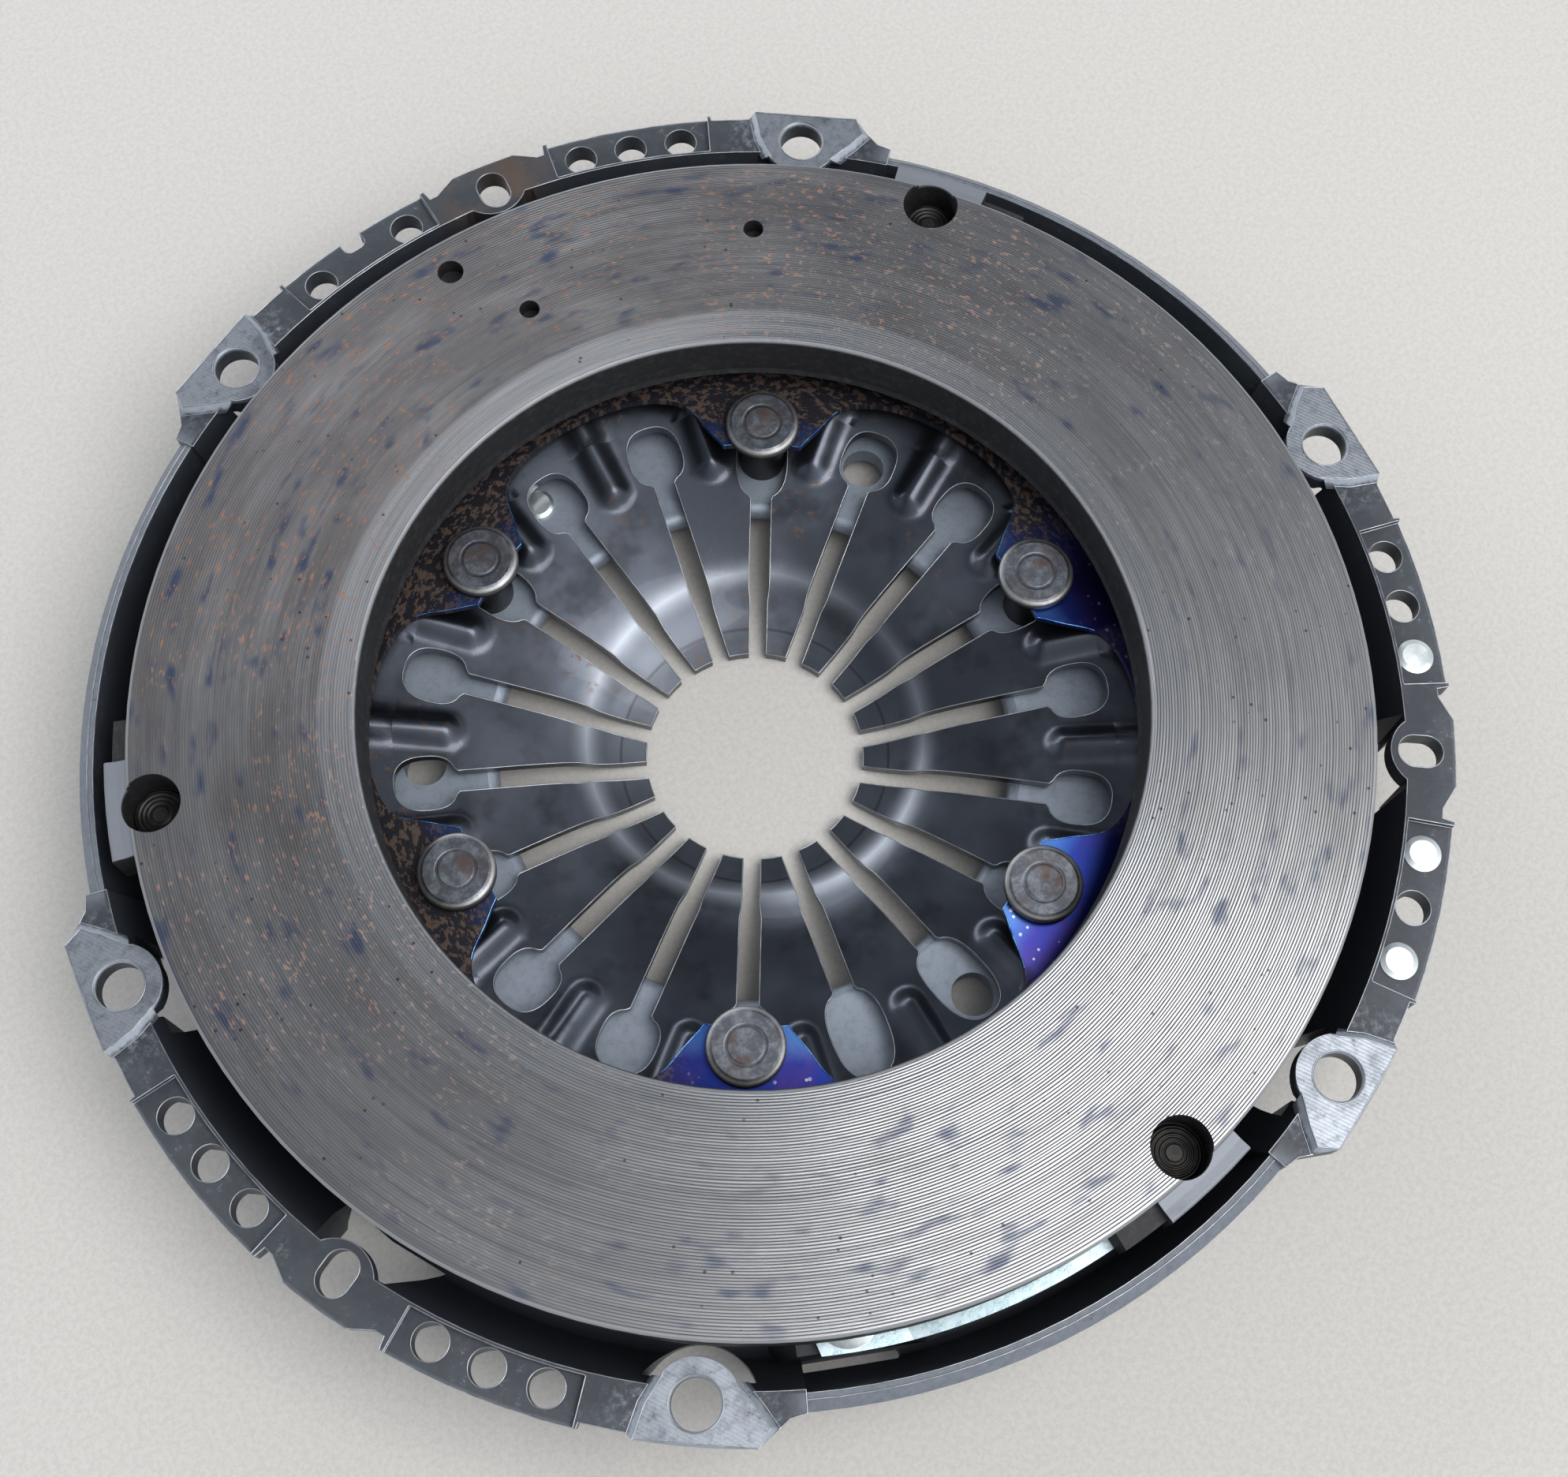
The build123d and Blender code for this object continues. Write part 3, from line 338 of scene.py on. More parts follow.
# ---- finishes
# Radii and heights are millimetres and angles degrees. A pair of radii is where something
# starts and where it is full. A "side" is the angle round the axis that a stain, a painted shade or
# a painted highlight keeps to.
@dataclass(frozen=True)
class TurnedIron:
    """Grey iron: a turned, heat-marked friction face over rough cast sides."""

    bright: Colour = (0.43, 0.43, 0.435)
    satin: Colour = (0.36, 0.37, 0.39)
    stain_and_shade: Colour = (0.165, 0.158, 0.157)
    ring: Colour = (0.13, 0.135, 0.15)
    groove: Colour = (0.10, 0.105, 0.12)
    smudge: Colour = (0.045, 0.065, 0.12)
    rust: Colour = (0.33, 0.135, 0.06)
    pit: Colour = (0.05, 0.04, 0.04)
    cast: Colour = (0.012, 0.012, 0.014)
    cast_light: Colour = (0.035, 0.034, 0.036)
    edge: Colour = (0.50, 0.51, 0.53)
    land: Colour = (0.33, 0.35, 0.39)
    groove_pitch: float = 0.55
    face_z: float = 5.8
    face_outer: float = 119.9
    bore: float = 76.5
    satin_r: float = 83.5
    clean_r: float = 118.0
    stained_side: float = 112.0

    def build(self) -> bpy.types.Material:
        """Makes the material: sine grooves by radius, smudges and rust drawn out round the axis.

        A satin band lies inside satin_r, and no rust outside clean_r. The chamfer at the bore,
        the face's rim and the land round it are brighter than the cast sides.

        Returns:
            The material.
        """
        g = MaterialGraph("turned_iron")
        radius, angle, z = g.round_place()
        drift = g.streaks(0.25, 1.5, 2.0)
        ripple = (radius * (2 * np.pi / self.groove_pitch) + drift * 8.0).sine() * 0.5 + 0.5
        rings = g.streaks(1.3, 1.6, 4.0)
        broad = g.streaks(0.10, 3.0, 3.0)
        # Painted darker towards stained_side: a heat stain together with painted shade on that side
        # of the face.
        side = (angle - self.stained_side).wrap(360.0).step(150.0, 25.0)
        stain = (side * 0.85 + (broad - 0.5) * 1.5 + 0.05).clamp()
        inner_band = radius.step(self.satin_r + 1.0, self.satin_r - 1.0)
        face = g.mix(stain * (1 - inner_band * 0.55), self.bright, self.stain_and_shade)
        face = g.mix(inner_band * 0.6, face, self.satin)
        face = g.mix(rings.step(0.40, 0.72) * 0.45, face, self.ring)
        face = g.mix(ripple * 0.30, face, self.groove)
        smudges = g.streaks(0.30, 11.0, 1.5).step(0.535, 0.76)
        smudges = smudges * g.streaks(0.08, 4.0, 1.0).step(0.30, 0.50) * (1 - inner_band)
        face = g.mix(smudges * (0.70 + side * 0.22), face, self.smudge)
        specks = g.streaks(1.3, 60.0, 4.0).step(0.575, 0.64) * g.noise(26.0, 3.0).step(0.36, 0.52)
        rust = specks * (side * 0.9 + 0.10).clamp()
        rust = rust * (1 - radius.step(self.clean_r - 1.0, self.clean_r + 1.0))
        face = g.mix(rust * 0.7, face, self.rust)
        pits = g.specks(310.0, 0.085, 0.03) * g.noise(60.0, 2.0).step(0.45, 0.6)
        face = g.mix(pits * 0.8, face, self.pit)
        wall = g.mix(g.noise(500.0, 5.0, 0.7).step(0.45, 0.75), self.cast, self.cast_light)
        is_face = z.step(self.face_z - 0.25, self.face_z - 0.1)
        chamfer = radius.band(self.bore - 0.1, self.bore + 0.78, 0.05)
        chamfer = chamfer * z.step(self.face_z - 0.75, self.face_z - 0.35)
        land = z.band(self.face_z - 1.8, self.face_z - 0.8, 0.05)
        land = land * radius.step(self.face_outer, self.face_outer + 0.4)
        rim = radius.band(self.face_outer - 0.5, self.face_outer + 0.5, 0.1)
        rim = rim * z.step(self.face_z - 0.9, self.face_z - 0.4)
        colour = g.mix(is_face, wall, face)
        colour = g.mix(chamfer.most(rim * 0.6) * 0.8, colour, self.edge)
        colour = g.mix(land * 0.8, colour, self.land)
        relief = ripple * 0.8 + rings * 0.35
        height = relief * is_face + g.noise(900.0, 4.0, 0.7) * (1 - is_face) * 1.2
        return g.finish(
            Base_Color=colour,
            Metallic=(is_face * 0.95).most(chamfer).most(land * 0.8) * (1 - rust) + 0.02,
            Roughness=0.60 - is_face * 0.31 + stain * 0.10 + rust * 0.3 + smudges * 0.12,
            Normal=g.bump(height, 0.075, 0.8),
        )


@dataclass(frozen=True)
class WornPaint:
    """Thin black paint on a pressed cover, worn to grey on edges and bare on the tab faces."""

    paint: Colour = (0.034, 0.039, 0.050)
    paint_light: Colour = (0.055, 0.061, 0.074)
    worn: Colour = (0.085, 0.093, 0.108)
    trim: Colour = (0.20, 0.225, 0.265)
    edge: Colour = (0.26, 0.29, 0.33)
    pale: Colour = (0.46, 0.51, 0.58)
    bare: Colour = (0.38, 0.41, 0.455)
    bare_milled: Colour = (0.20, 0.22, 0.25)
    bare_dull: Colour = (0.11, 0.12, 0.14)
    bare_pit: Colour = (0.06, 0.065, 0.075)
    floor: Colour = (0.31, 0.355, 0.42)
    floor_dull: Colour = (0.20, 0.23, 0.28)
    brown: Colour = (0.10, 0.065, 0.045)
    floor_z: float = -26.6
    bare_floor_r: float = 81.0
    tab_pitch: float = 60.0
    tab_r: float = 121.0
    flange_r: float = 127.2
    trim_r: float = 128.0
    trim_z: float = -3.8
    edge_r: float = 136.3
    lug_side: float = 30.0
    lug_pitch: float = 120.0
    rusty_dowel: float = 90.0

    def build(self) -> bpy.types.Material:
        """Makes the material: grey mottling on the flange, its trimmed edge and the bowl's floor.

        The tabs are bare where z is nearly 0, with pale chips round that.

        Returns:
            The material.
        """
        g = MaterialGraph("worn_cover_paint")
        radius, angle, z = g.round_place()
        ragged = g.noise(700.0, 5.0, 0.7) - 0.5
        mottle = g.noise(420.0, 7.0, 0.8)
        blotch = g.noise(75.0, 4.0, 0.65)
        on_flange = radius.step(self.flange_r - 1.4, self.flange_r + 0.6) * z.step(-8.5, -3.6)
        near_tab = angle.wrap(self.tab_pitch).step(8.0, 5.0)
        outer = radius.step(130.5, 135.5) * 0.5
        wear = mottle.step(0.42, 0.70) * 0.35 + blotch.step(0.40, 0.70) * 0.55
        wear = (wear + outer - 0.15).clamp() * on_flange
        colour = g.mix(mottle.step(0.55, 0.8) * 0.5, self.paint, self.paint_light)
        colour = g.mix(wear, colour, self.worn)
        colour = g.mix(wear * mottle.step(0.58, 0.70) * 0.45, colour, self.pale)
        on_floor = z.step(self.floor_z + 3.5, self.floor_z + 0.3)
        on_floor = on_floor * radius.step(self.bare_floor_r, self.bare_floor_r - 4.0)
        floor = g.mix(mottle.step(0.45, 0.68) * 0.5, self.floor, self.floor_dull)
        colour = g.mix(on_floor, colour, floor)
        lug_gap = (angle - self.lug_side).wrap(self.lug_pitch).step(23.5, 21.0)
        trimmed = lug_gap * radius.step(self.trim_r, self.trim_r + 0.4)
        trimmed = trimmed * z.step(self.trim_z - 0.6, self.trim_z)
        tab_edge = (z + ragged * 1.4).step(-1.3, -0.6) * radius.step(self.tab_r, self.tab_r + 0.6)
        chips = tab_edge * near_tab * (mottle + 0.25).clamp()
        colour = g.mix(trimmed * (0.75 + ragged * 0.9).clamp(), colour, self.trim)
        colour = g.mix(chips, colour, self.pale)
        edge = radius.step(self.edge_r, self.edge_r + 0.6) * (ragged + 0.5).clamp()
        colour = g.mix(edge * 0.6, colour, self.edge)
        machined = (z + ragged * 0.24).step(-0.22, -0.10) * near_tab
        x, y, _ = g.place()
        milling = ((x * 0.8 + y * 0.6) * 9.0 + ragged * 3.0).sine() * 0.5 + 0.5
        bare = g.mix(milling * 0.2 + mottle.step(0.46, 0.62) * 0.6, self.bare, self.bare_milled)
        bare = g.mix(blotch.step(0.48, 0.66) * 0.55, bare, self.bare_dull)
        bare = g.mix(mottle.step(0.60, 0.68) * 0.8, bare, self.bare_pit)
        colour = g.mix(machined, colour, bare)
        rusty = (angle - self.rusty_dowel).wrap(360.0).step(7.0, 2.0) * blotch.step(0.42, 0.54)
        stains = (rusty * 0.8).most(g.specks(800.0, 0.16) * blotch.step(0.52, 0.6) * 0.7)
        colour = g.mix(stains * on_flange, colour, self.brown)
        metal = machined.most(chips * 0.7).most(on_floor * 0.6).most(wear * 0.55)
        return g.finish(
            Base_Color=colour,
            Metallic=metal * 0.9,
            Roughness=0.36 - machined * 0.02 + mottle * 0.18 + on_floor * 0.06,
            Normal=g.bump(mottle * (1 - machined * 0.8) + milling * machined * 0.15, 0.12, 0.8),
        )


@dataclass(frozen=True)
class TemperedSteel:
    """Near-black tempered spring steel of the fingered disc."""

    base: Colour = (0.060, 0.067, 0.084)
    light: Colour = (0.115, 0.130, 0.160)
    dark: Colour = (0.028, 0.031, 0.038)
    knee_shade: Colour = (0.03, 0.032, 0.038)
    tip: Colour = (0.20, 0.215, 0.24)
    brown: Colour = (0.13, 0.075, 0.05)
    painted_highlight: Colour = (0.52, 0.56, 0.62)
    stained_side: float = 100.0
    painted_highlight_side: float = 244.0
    painted_highlight_r: float = 35.0
    painted_highlight_drift: float = 4.5
    painted_highlight_wide: float = 4.2
    tip_r: tuple[float, float] = (36.0, 25.0)
    knee: float = 28.0

    def build(self) -> bpy.types.Material:
        """Makes the material: soft clouds, a fine grain, a painted shade line at the knees, brown
        stains.

        A painted highlight band crosses the fingers inside their hips. Its middle drifts outwards
        round the disc, in proportion to the angle from the painted highlight side, where it is
        brightest.

        Returns:
            The material.
        """
        g = MaterialGraph("tempered_fingers")
        radius, angle, _ = g.round_place()
        clouds = g.noise(48.0, 3.0, 0.5)
        grain = g.noise(1500.0, 4.0, 0.75)
        colour = g.mix(clouds.step(0.40, 0.70) * 0.7, self.base, self.light)
        colour = g.mix(g.noise(75.0, 3.0, 0.6).step(0.48, 0.70) * 0.7, colour, self.dark)
        side = (angle - self.stained_side).wrap(360.0).step(120.0, 30.0)
        stain = g.noise(330.0, 5.0, 0.75).step(0.56, 0.66) * g.noise(40.0, 2.0).step(0.47, 0.6)
        stain = stain * (side * 0.8 + 0.15)
        colour = g.mix(stain, colour, self.brown)
        # Painted highlight: a bright band across the fingers, standing in for the reflection on
        # their bends.
        across = (angle - self.painted_highlight_side).wrap(360.0)
        middle = self.painted_highlight_r - self.painted_highlight_drift + across * (2 * self.painted_highlight_drift / 180)
        near = (1 - abs(radius - middle) / self.painted_highlight_wide).clamp()
        sheen = near * near * (0.80 - across.step(60.0, 130.0) * 0.45) * (clouds * 0.8 + 0.4)
        colour = g.mix(sheen.clamp(), colour, self.painted_highlight)
        colour = g.mix(radius.step(*self.tip_r) * 0.15, colour, self.tip)
        # Painted shade: a dark line along the crease at the knees.
        knee_shade_line = radius.band(self.knee - 0.1, self.knee + 0.1, 0.35)
        colour = g.mix(knee_shade_line * 0.6, colour, self.knee_shade)
        return g.finish(
            Base_Color=colour,
            Metallic=0.92,
            Roughness=0.26 + grain * 0.10 + stain * 0.25 + (clouds - 0.5) * 0.12,
            Coat_Weight=0.20,
            Normal=g.bump(grain * 0.6 + clouds * 0.4, 0.045, 0.6),
        )


@dataclass(frozen=True)
class BluedSteel:
    """Violet-blue sensor disc, with a painted cyan highlight by its inner edge, scaled to dark
    brown on one side.
    """

    blue: Colour = (0.014, 0.028, 0.19)
    violet: Colour = (0.040, 0.026, 0.17)
    cyan_highlight: Colour = (0.06, 0.19, 0.44)
    scale: Colour = (0.014, 0.014, 0.020)
    flake: Colour = (0.13, 0.085, 0.065)
    pale: Colour = (0.55, 0.55, 0.68)
    tongue_r: tuple[float, float] = (71.0, 63.5)
    scale_r: tuple[float, float] = (66.0, 71.0)
    scaled_side: float = 118.0

    def build(self) -> bpy.types.Material:
        """Makes the material: blue to violet clouds, a painted cyan highlight by the inner edge,
        flaking dark scale.

        A bolt keeps the scale off round itself, except on the scaled side outside scale_r.

        Returns:
            The material.
        """
        g = MaterialGraph("blued_sensor")
        radius, angle, _ = g.round_place()
        clouds = g.noise(60.0, 4.0, 0.6)
        ragged = g.noise(240.0, 6.0, 0.75)
        colour = g.mix(clouds.step(0.40, 0.62), self.blue, self.violet)
        lobe = (angle - FIRST_BOLT).wrap(BOLT_PITCH)
        # Painted highlight: cyan laid on the tongues by the inner edge, for the reflection off the
        # disc's rolled edge.
        tongue = radius.step(*self.tongue_r) * lobe.step(4.0, 8.0)
        worn = (tongue * 0.9 + (clouds - 0.56) * 1.5).clamp()
        colour = g.mix(worn * 0.6, colour, self.cyan_highlight)
        chips = g.specks(420.0, 0.14) * clouds.step(0.46, 0.56)
        colour = g.mix(chips * 0.6, colour, self.pale)
        side = (angle - self.scaled_side).wrap(360.0).step(128.0, 96.0)
        near_bolt = lobe.step(15.0, 9.0) * (1 - side * radius.step(*self.scale_r))
        dark = (0.45 + side * 0.8 + (ragged - 0.5) * 0.9 - near_bolt * (0.95 - side * 0.35)).clamp()
        colour = g.mix(dark, colour, self.scale)
        flakes = g.streaks(0.9, 42.0, 5.0).step(0.50, 0.57) * dark
        colour = g.mix(flakes * 0.85, colour, self.flake)
        return g.finish(
            Base_Color=colour,
            Metallic=0.9 - dark * 0.5,
            Roughness=0.24 + dark * 0.25 + ragged * 0.12,
            Normal=g.bump(ragged * 0.4 + flakes * 0.9, 0.08, 0.6),
        )


@dataclass(frozen=True)
class BoltSteel:
    """Oiled steel of the stand-off bolts: mottled heads with a struck ring and a painted highlight
    round the rim, dark shanks.
    """

    head: Colour = (0.105, 0.112, 0.130)
    light: Colour = (0.22, 0.235, 0.265)
    rim: Colour = (0.40, 0.39, 0.375)
    brown: Colour = (0.115, 0.078, 0.066)
    struck: Colour = (0.06, 0.06, 0.065)
    shank: Colour = (0.03, 0.028, 0.026)
    circle_r: float = 65.8
    head_r: float = 7.7
    head_top: float = -8.77
    struck_r: float = 3.8

    def build(self) -> bpy.types.Material:
        """Makes the material, by the distance from the nearest bolt's own axis.

        The angle a is folded to the nearest bolt; the distance is the hypotenuse of the radial
        offset r cos a - circle_r and the sideways offset r sin a.

        Returns:
            The material.
        """
        g = MaterialGraph("bolt_steel")
        radius, angle, z = g.round_place()
        turn = (angle - FIRST_BOLT).wrap(BOLT_PITCH) * RADIANS
        out = radius * (turn + np.pi / 2).sine() - self.circle_r
        off = out.hypotenuse(radius * turn.sine())
        mottle = g.noise(420.0, 6.0, 0.75)
        clouds = g.noise(150.0, 3.0, 0.6)
        struck = off.band(self.struck_r - 0.15, self.struck_r + 0.15, 0.35)
        colour = g.mix(mottle.step(0.40, 0.66), self.head, self.light)
        inside = off.step(self.struck_r, self.struck_r - 0.5)
        colour = g.mix((inside * 0.5 + 0.25) * clouds.step(0.46, 0.62), colour, self.brown)
        colour = g.mix(struck * 0.5, colour, self.struck)
        # Painted highlight: a bright band round the rim of every head.
        rim = off.band(self.head_r - 0.7, self.head_r + 0.2, 0.25) * (mottle + 0.35).clamp()
        colour = g.mix(rim * 0.75, colour, self.rim)
        below = z.step(self.head_top - 1.2, self.head_top - 2.0)
        colour = g.mix(below, colour, self.shank)
        height = mottle * 0.35 + (1 - struck) * 0.8 + inside * clouds * 0.5
        return g.finish(
            Base_Color=colour,
            Metallic=0.9,
            Roughness=0.36 + clouds * 0.12 + inside * 0.1,
            Normal=g.bump(height, 0.16, 0.6),
        )


@dataclass(frozen=True)
class PlainSteel:
    """A plain metal finish with a little mottling."""

    name: str
    base: Colour
    light: Colour
    roughness: float = 0.36
    metal: float = 0.9
    grain: float = 0.05

    def build(self) -> bpy.types.Material:
        """Makes the material: two greys clouded together over a fine grain.

        Returns:
            The material.
        """
        g = MaterialGraph(self.name)
        mottle = g.noise(240.0, 5.0, 0.7)
        grain = g.noise(1500.0, 3.0, 0.7)
        colour = g.mix(mottle.step(0.36, 0.66), self.base, self.light)
        return g.finish(
            Base_Color=colour,
            Metallic=self.metal,
            Roughness=self.roughness + (mottle - 0.5) * 0.2,
            Normal=g.bump(grain * 0.5 + mottle * 0.5, self.grain, 0.6),
        )


STRAP_STEEL = PlainSteel("strap_strip", (0.50, 0.66, 0.72), (0.72, 0.84, 0.88), 0.28)
ZINC = PlainSteel("zinc_plate", (0.62, 0.68, 0.70), (0.84, 0.88, 0.89), 0.34)
PHOSPHATE = PlainSteel("phosphate", (0.05, 0.05, 0.055), (0.10, 0.10, 0.11), 0.6, 0.5)
RIVET_END = PlainSteel("rivet_end", (0.020, 0.019, 0.019), (0.05, 0.046, 0.043), 0.45, 0.7)
GROUND_EDGE = PlainSteel("ground_edge", (0.30, 0.32, 0.35), (0.52, 0.54, 0.57), 0.32)
# Bright cyan-blue of the sensor disc's edge bars: a painted highlight.
EDGE_HIGHLIGHT_BLUE = PlainSteel("painted_edge_highlight", (0.04, 0.10, 0.45), (0.20, 0.50, 0.85), 0.28)


# ---- surfaces
def polar(radius: np.ndarray | float, angle: np.ndarray | float) -> np.ndarray:
    """Plan point of a radius (mm) and an angle (degrees): x is r cos a, y is r sin a."""
    turn = np.radians(angle)
    return np.stack([radius * np.cos(turn), radius * np.sin(turn)], axis=-1)


def unit(vectors: np.ndarray) -> np.ndarray:
    """Vectors scaled to length 1; one without length stays as it is."""
    return vectors / np.maximum(np.linalg.norm(vectors, axis=-1, keepdims=True), 1e-12)


class Surface:
    """Puts worked-out grids into meshes that ride on a body of the frame."""

    @staticmethod
    def grid(points: np.ndarray, closed: bool = False) -> Grid:
        """Joins a grid of points with quads.

        Args:
            points: rows x columns x 3.
            closed: whether the last column joins the first.

        Returns:
            The vertices and the faces.
        """
        rows, columns = points.shape[:2]
        index = np.arange(rows * columns).reshape(rows, columns)
        if closed:
            index = np.hstack([index, index[:, :1]])
        faces = np.stack([index[:-1, :-1], index[:-1, 1:], index[1:, 1:], index[1:, :-1]], axis=-1)
        return points.reshape(-1, 3), faces.reshape(-1, 4)

    @staticmethod
    def join(parts: Sequence[Grid]) -> Grid:
        """Makes several grids one.

        Args:
            parts: the grids.

        Returns:
            One grid, with all corners as they were.
        """
        starts = np.cumsum([0] + [len(v) for v, _ in parts[:-1]])
        faces = np.vstack([f + start for (_, f), start in zip(parts, starts)])
        return np.vstack([v for v, _ in parts]), faces

    @staticmethod
    def weld(parts: Sequence[Grid]) -> Grid:
        """Makes several grids one, corners that agree to 0.1 micrometre becoming one.

        Args:
            parts: the grids.

        Returns:
            One grid.
        """
        vertices, faces = Surface.join(parts)
        vertices, welded = np.unique(np.round(vertices, 4), axis=0, return_inverse=True)
        return vertices, welded.reshape(-1)[faces]

    @staticmethod
    def mesh(
        name: str, parts: Sequence[Grid], finish: bpy.types.Material, body: str, slot: MaterialSlot
    ) -> bpy.types.Object:
        """Makes one smooth object of several grids and sets it on its body.

        Args:
            name: the object's name.
            parts: its grids.
            finish: its material.
            body: the frame body it moves with.
            slot: the record's slot it belongs to; not used.

        Returns:
            The object.
        """
        vertices, faces = Surface.join(parts)
        data = bpy.data.meshes.new(name)
        data.from_pydata((vertices * MM).tolist(), [], faces.tolist())
        data.polygons.foreach_set("use_smooth", np.ones(len(faces), dtype=bool))
        data.materials.append(finish)
        data.update()
        obj = bpy.data.objects.new(name, data)
        bpy.context.scene.collection.objects.link(obj)
        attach(obj, body)
        LOG.info("%s: %d faces", name, len(faces))
        return obj


@dataclass(frozen=True)
class Burnish:
    """Thin bright bars laid along sharp edges, as handling and grinding leave them.

    The radius is in millimetres, the crease angle in degrees and the merging length in metres.
    """

    radius: float = 0.13
    sides: int = 5
    crease: float = 35.0
    merge: float = 1e-6

    def edges(self, node: bpy.types.Object) -> tuple[np.ndarray, np.ndarray]:
        """Finds the creases of a node.

        Corners within the merging length count as one. An edge is a crease where its two
        triangles' normals differ by more than the crease angle.

        Args:
            node: a CAD node, whose triangles may be loose.

        Returns:
            The creases' ends (n x 2 x 3, mm), and the larger z of their two faces' normals.
        """
        mesh = node.data
        mesh.calc_loop_triangles()
        corners = np.empty(len(mesh.loop_triangles) * 3, dtype=np.int64)
        mesh.loop_triangles.foreach_get("vertices", corners)
        places = np.empty(len(mesh.vertices) * 3)
        mesh.vertices.foreach_get("co", places)
        places = places.reshape(-1, 3)
        cells = np.round(places / self.merge)
        _, first, merged = np.unique(cells, axis=0, return_index=True, return_inverse=True)
        triangles = merged.reshape(-1)[corners].reshape(-1, 3)
        points = places[first] / MM
        a, b, c = (points[triangles[:, corner]] for corner in range(3))
        normals = unit(np.cross(b - a, c - a))
        pairs = np.vstack([triangles[:, side] for side in ([0, 1], [1, 2], [2, 0])])
        pairs = np.sort(pairs, axis=1)
        owners = np.tile(np.arange(len(triangles)), 3)
        order = np.lexsort((pairs[:, 1], pairs[:, 0]))
        pairs, owners = pairs[order], owners[order]
        twin = np.flatnonzero((pairs[1:] == pairs[:-1]).all(axis=1))
        one, other = normals[owners[twin]], normals[owners[twin + 1]]
        sharp = (one * other).sum(axis=1) < np.cos(np.radians(self.crease))
        ends = points[pairs[twin[sharp]]]
        return ends, np.maximum(one[sharp, 2], other[sharp, 2])

    def bars(self, ends: np.ndarray) -> Grid:
        """Carries a round section along every edge.

        Around each end the section is radius (cos v side + sin v up), with side level, or
        square to x on an upright run, and up square to side and run.

        Args:
            ends: n x 2 x 3, in millimetres.

        Returns:
            The vertices and faces of all the bars.
        """
        run = unit(ends[:, 1] - ends[:, 0])
        upright = np.abs(run[:, 2:]) > 0.9
        side = unit(np.cross(run, np.where(upright, (1.0, 0.0, 0.0), (0.0, 0.0, 1.0))))
        up = np.cross(side, run)
        turn = (np.arange(self.sides) * 2 * np.pi / self.sides)[:, None]
        ring = side[:, None] * np.cos(turn) + up[:, None] * np.sin(turn)
        vertices = (ends[:, :, None] + self.radius * ring[:, None]).reshape(-1, 3)
        one = np.arange(self.sides)
        other = np.roll(one, -1)
        quad = np.stack([one, other, other + self.sides, one + self.sides], axis=-1)
        starts = np.arange(len(ends)) * 2 * self.sides
        return vertices, (quad[None] + starts[:, None, None]).reshape(-1, 4)


def turned(profile: np.ndarray, centre: np.ndarray, steps: int = 48) -> Grid:
    """Profile of (radius, height) turned about an upright axis through a plan point.

    Args:
        profile: n x 2, in millimetres, from the middle outwards.
        centre: the plan point.
        steps: points round the axis.

    Returns:
        The grid's vertices and faces.
    """
    turn = np.linspace(0, 2 * np.pi, steps, endpoint=False)
    x = centre[0] + profile[:, :1] * np.cos(turn)
    y = centre[1] + profile[:, :1] * np.sin(turn)
    z = np.repeat(profile[:, 1:], steps, axis=1)
    return Surface.grid(np.stack([x, y, z], axis=-1), closed=True)


# ---- sub-assemblies
@dataclass
class SubAssembly:
    """A part of the assembly, which dresses its own among all the CAD nodes."""

    nodes: dict[str, bpy.types.Object]

    def dress(self, finish: bpy.types.Material, *starts: str) -> None:
        """Gives a finish to the nodes whose names start with one of the words.

        Args:
            finish: the material.
            starts: the words.
        """
        for name, node in self.nodes.items():
            if name.startswith(starts):
                node.data.materials.clear()
                node.data.materials.append(finish)
                LOG.info("dressed %s", name)


@dataclass
class Cover(SubAssembly):
    """The pressed cover with its straps, rivets and stop pin.

    Creases above flange_low are burnished where a face's upward tilt is more than tilt.
    """

    body: str = "cover_body"
    flange_low: float = -3.2
    tilt: float = 0.9

    def build(self) -> None:
        """Paints the cover, plates its small rivets and burnishes the flange's upper edges."""
        self.dress(WornPaint().build(), "cover")
        self.dress(ZINC.build(), "cover_strap_rivet", "balance_rivet", "stop_pin")
        self.dress(STRAP_STEEL.build(), "drive_strap")
        burnish = Burnish()
        ends, tilt = burnish.edges(self.nodes["cover"])
        upper = (ends[:, :, 2].min(axis=1) > self.flange_low) & (tilt > self.tilt)
        bars = burnish.bars(ends[upper])
        Surface.mesh("flange_edge_wear", [bars], GROUND_EDGE.build(), self.body, MaterialSlot.COVER)


@dataclass
class FrictionPlate(SubAssembly):
    """The iron plate and the ringed rivet ends at the bottom of its lug holes."""

    body: str = "plate_body"
    lugs: int = 3
    rivet_r: float = 115.7
    lug_angle: float = 45.7
    rivet_top: float = -1.8
    face_r: tuple[float, float] = (0.05, 4.7)
    face_rise: float = 0.12
    face_rows: int = 60
    plain_r: float = 1.9
    ring_step: float = 0.85
    ring_height: float = 0.10

    def build(self) -> None:
        """Dresses the plate and lays ringed faces on its rivets."""
        self.dress(TurnedIron().build(), "pressure_plate")
        finish = RIVET_END.build()
        self.dress(finish, "plate_strap_rivet")
        radius = np.linspace(*self.face_r, self.face_rows)
        ripple = self.ring_height * np.cos(2 * np.pi * radius / self.ring_step)
        height = self.rivet_top + self.face_rise + ripple * (radius > self.plain_r)
        profile = np.stack([radius, height], axis=-1)
        angles = [self.lug_angle + 360 / self.lugs * lug for lug in range(self.lugs)]
        faces = [turned(profile, polar(self.rivet_r, angle)) for angle in angles]
        Surface.mesh("rivet_ring_marks", faces, finish, self.body, MaterialSlot.ZINC)


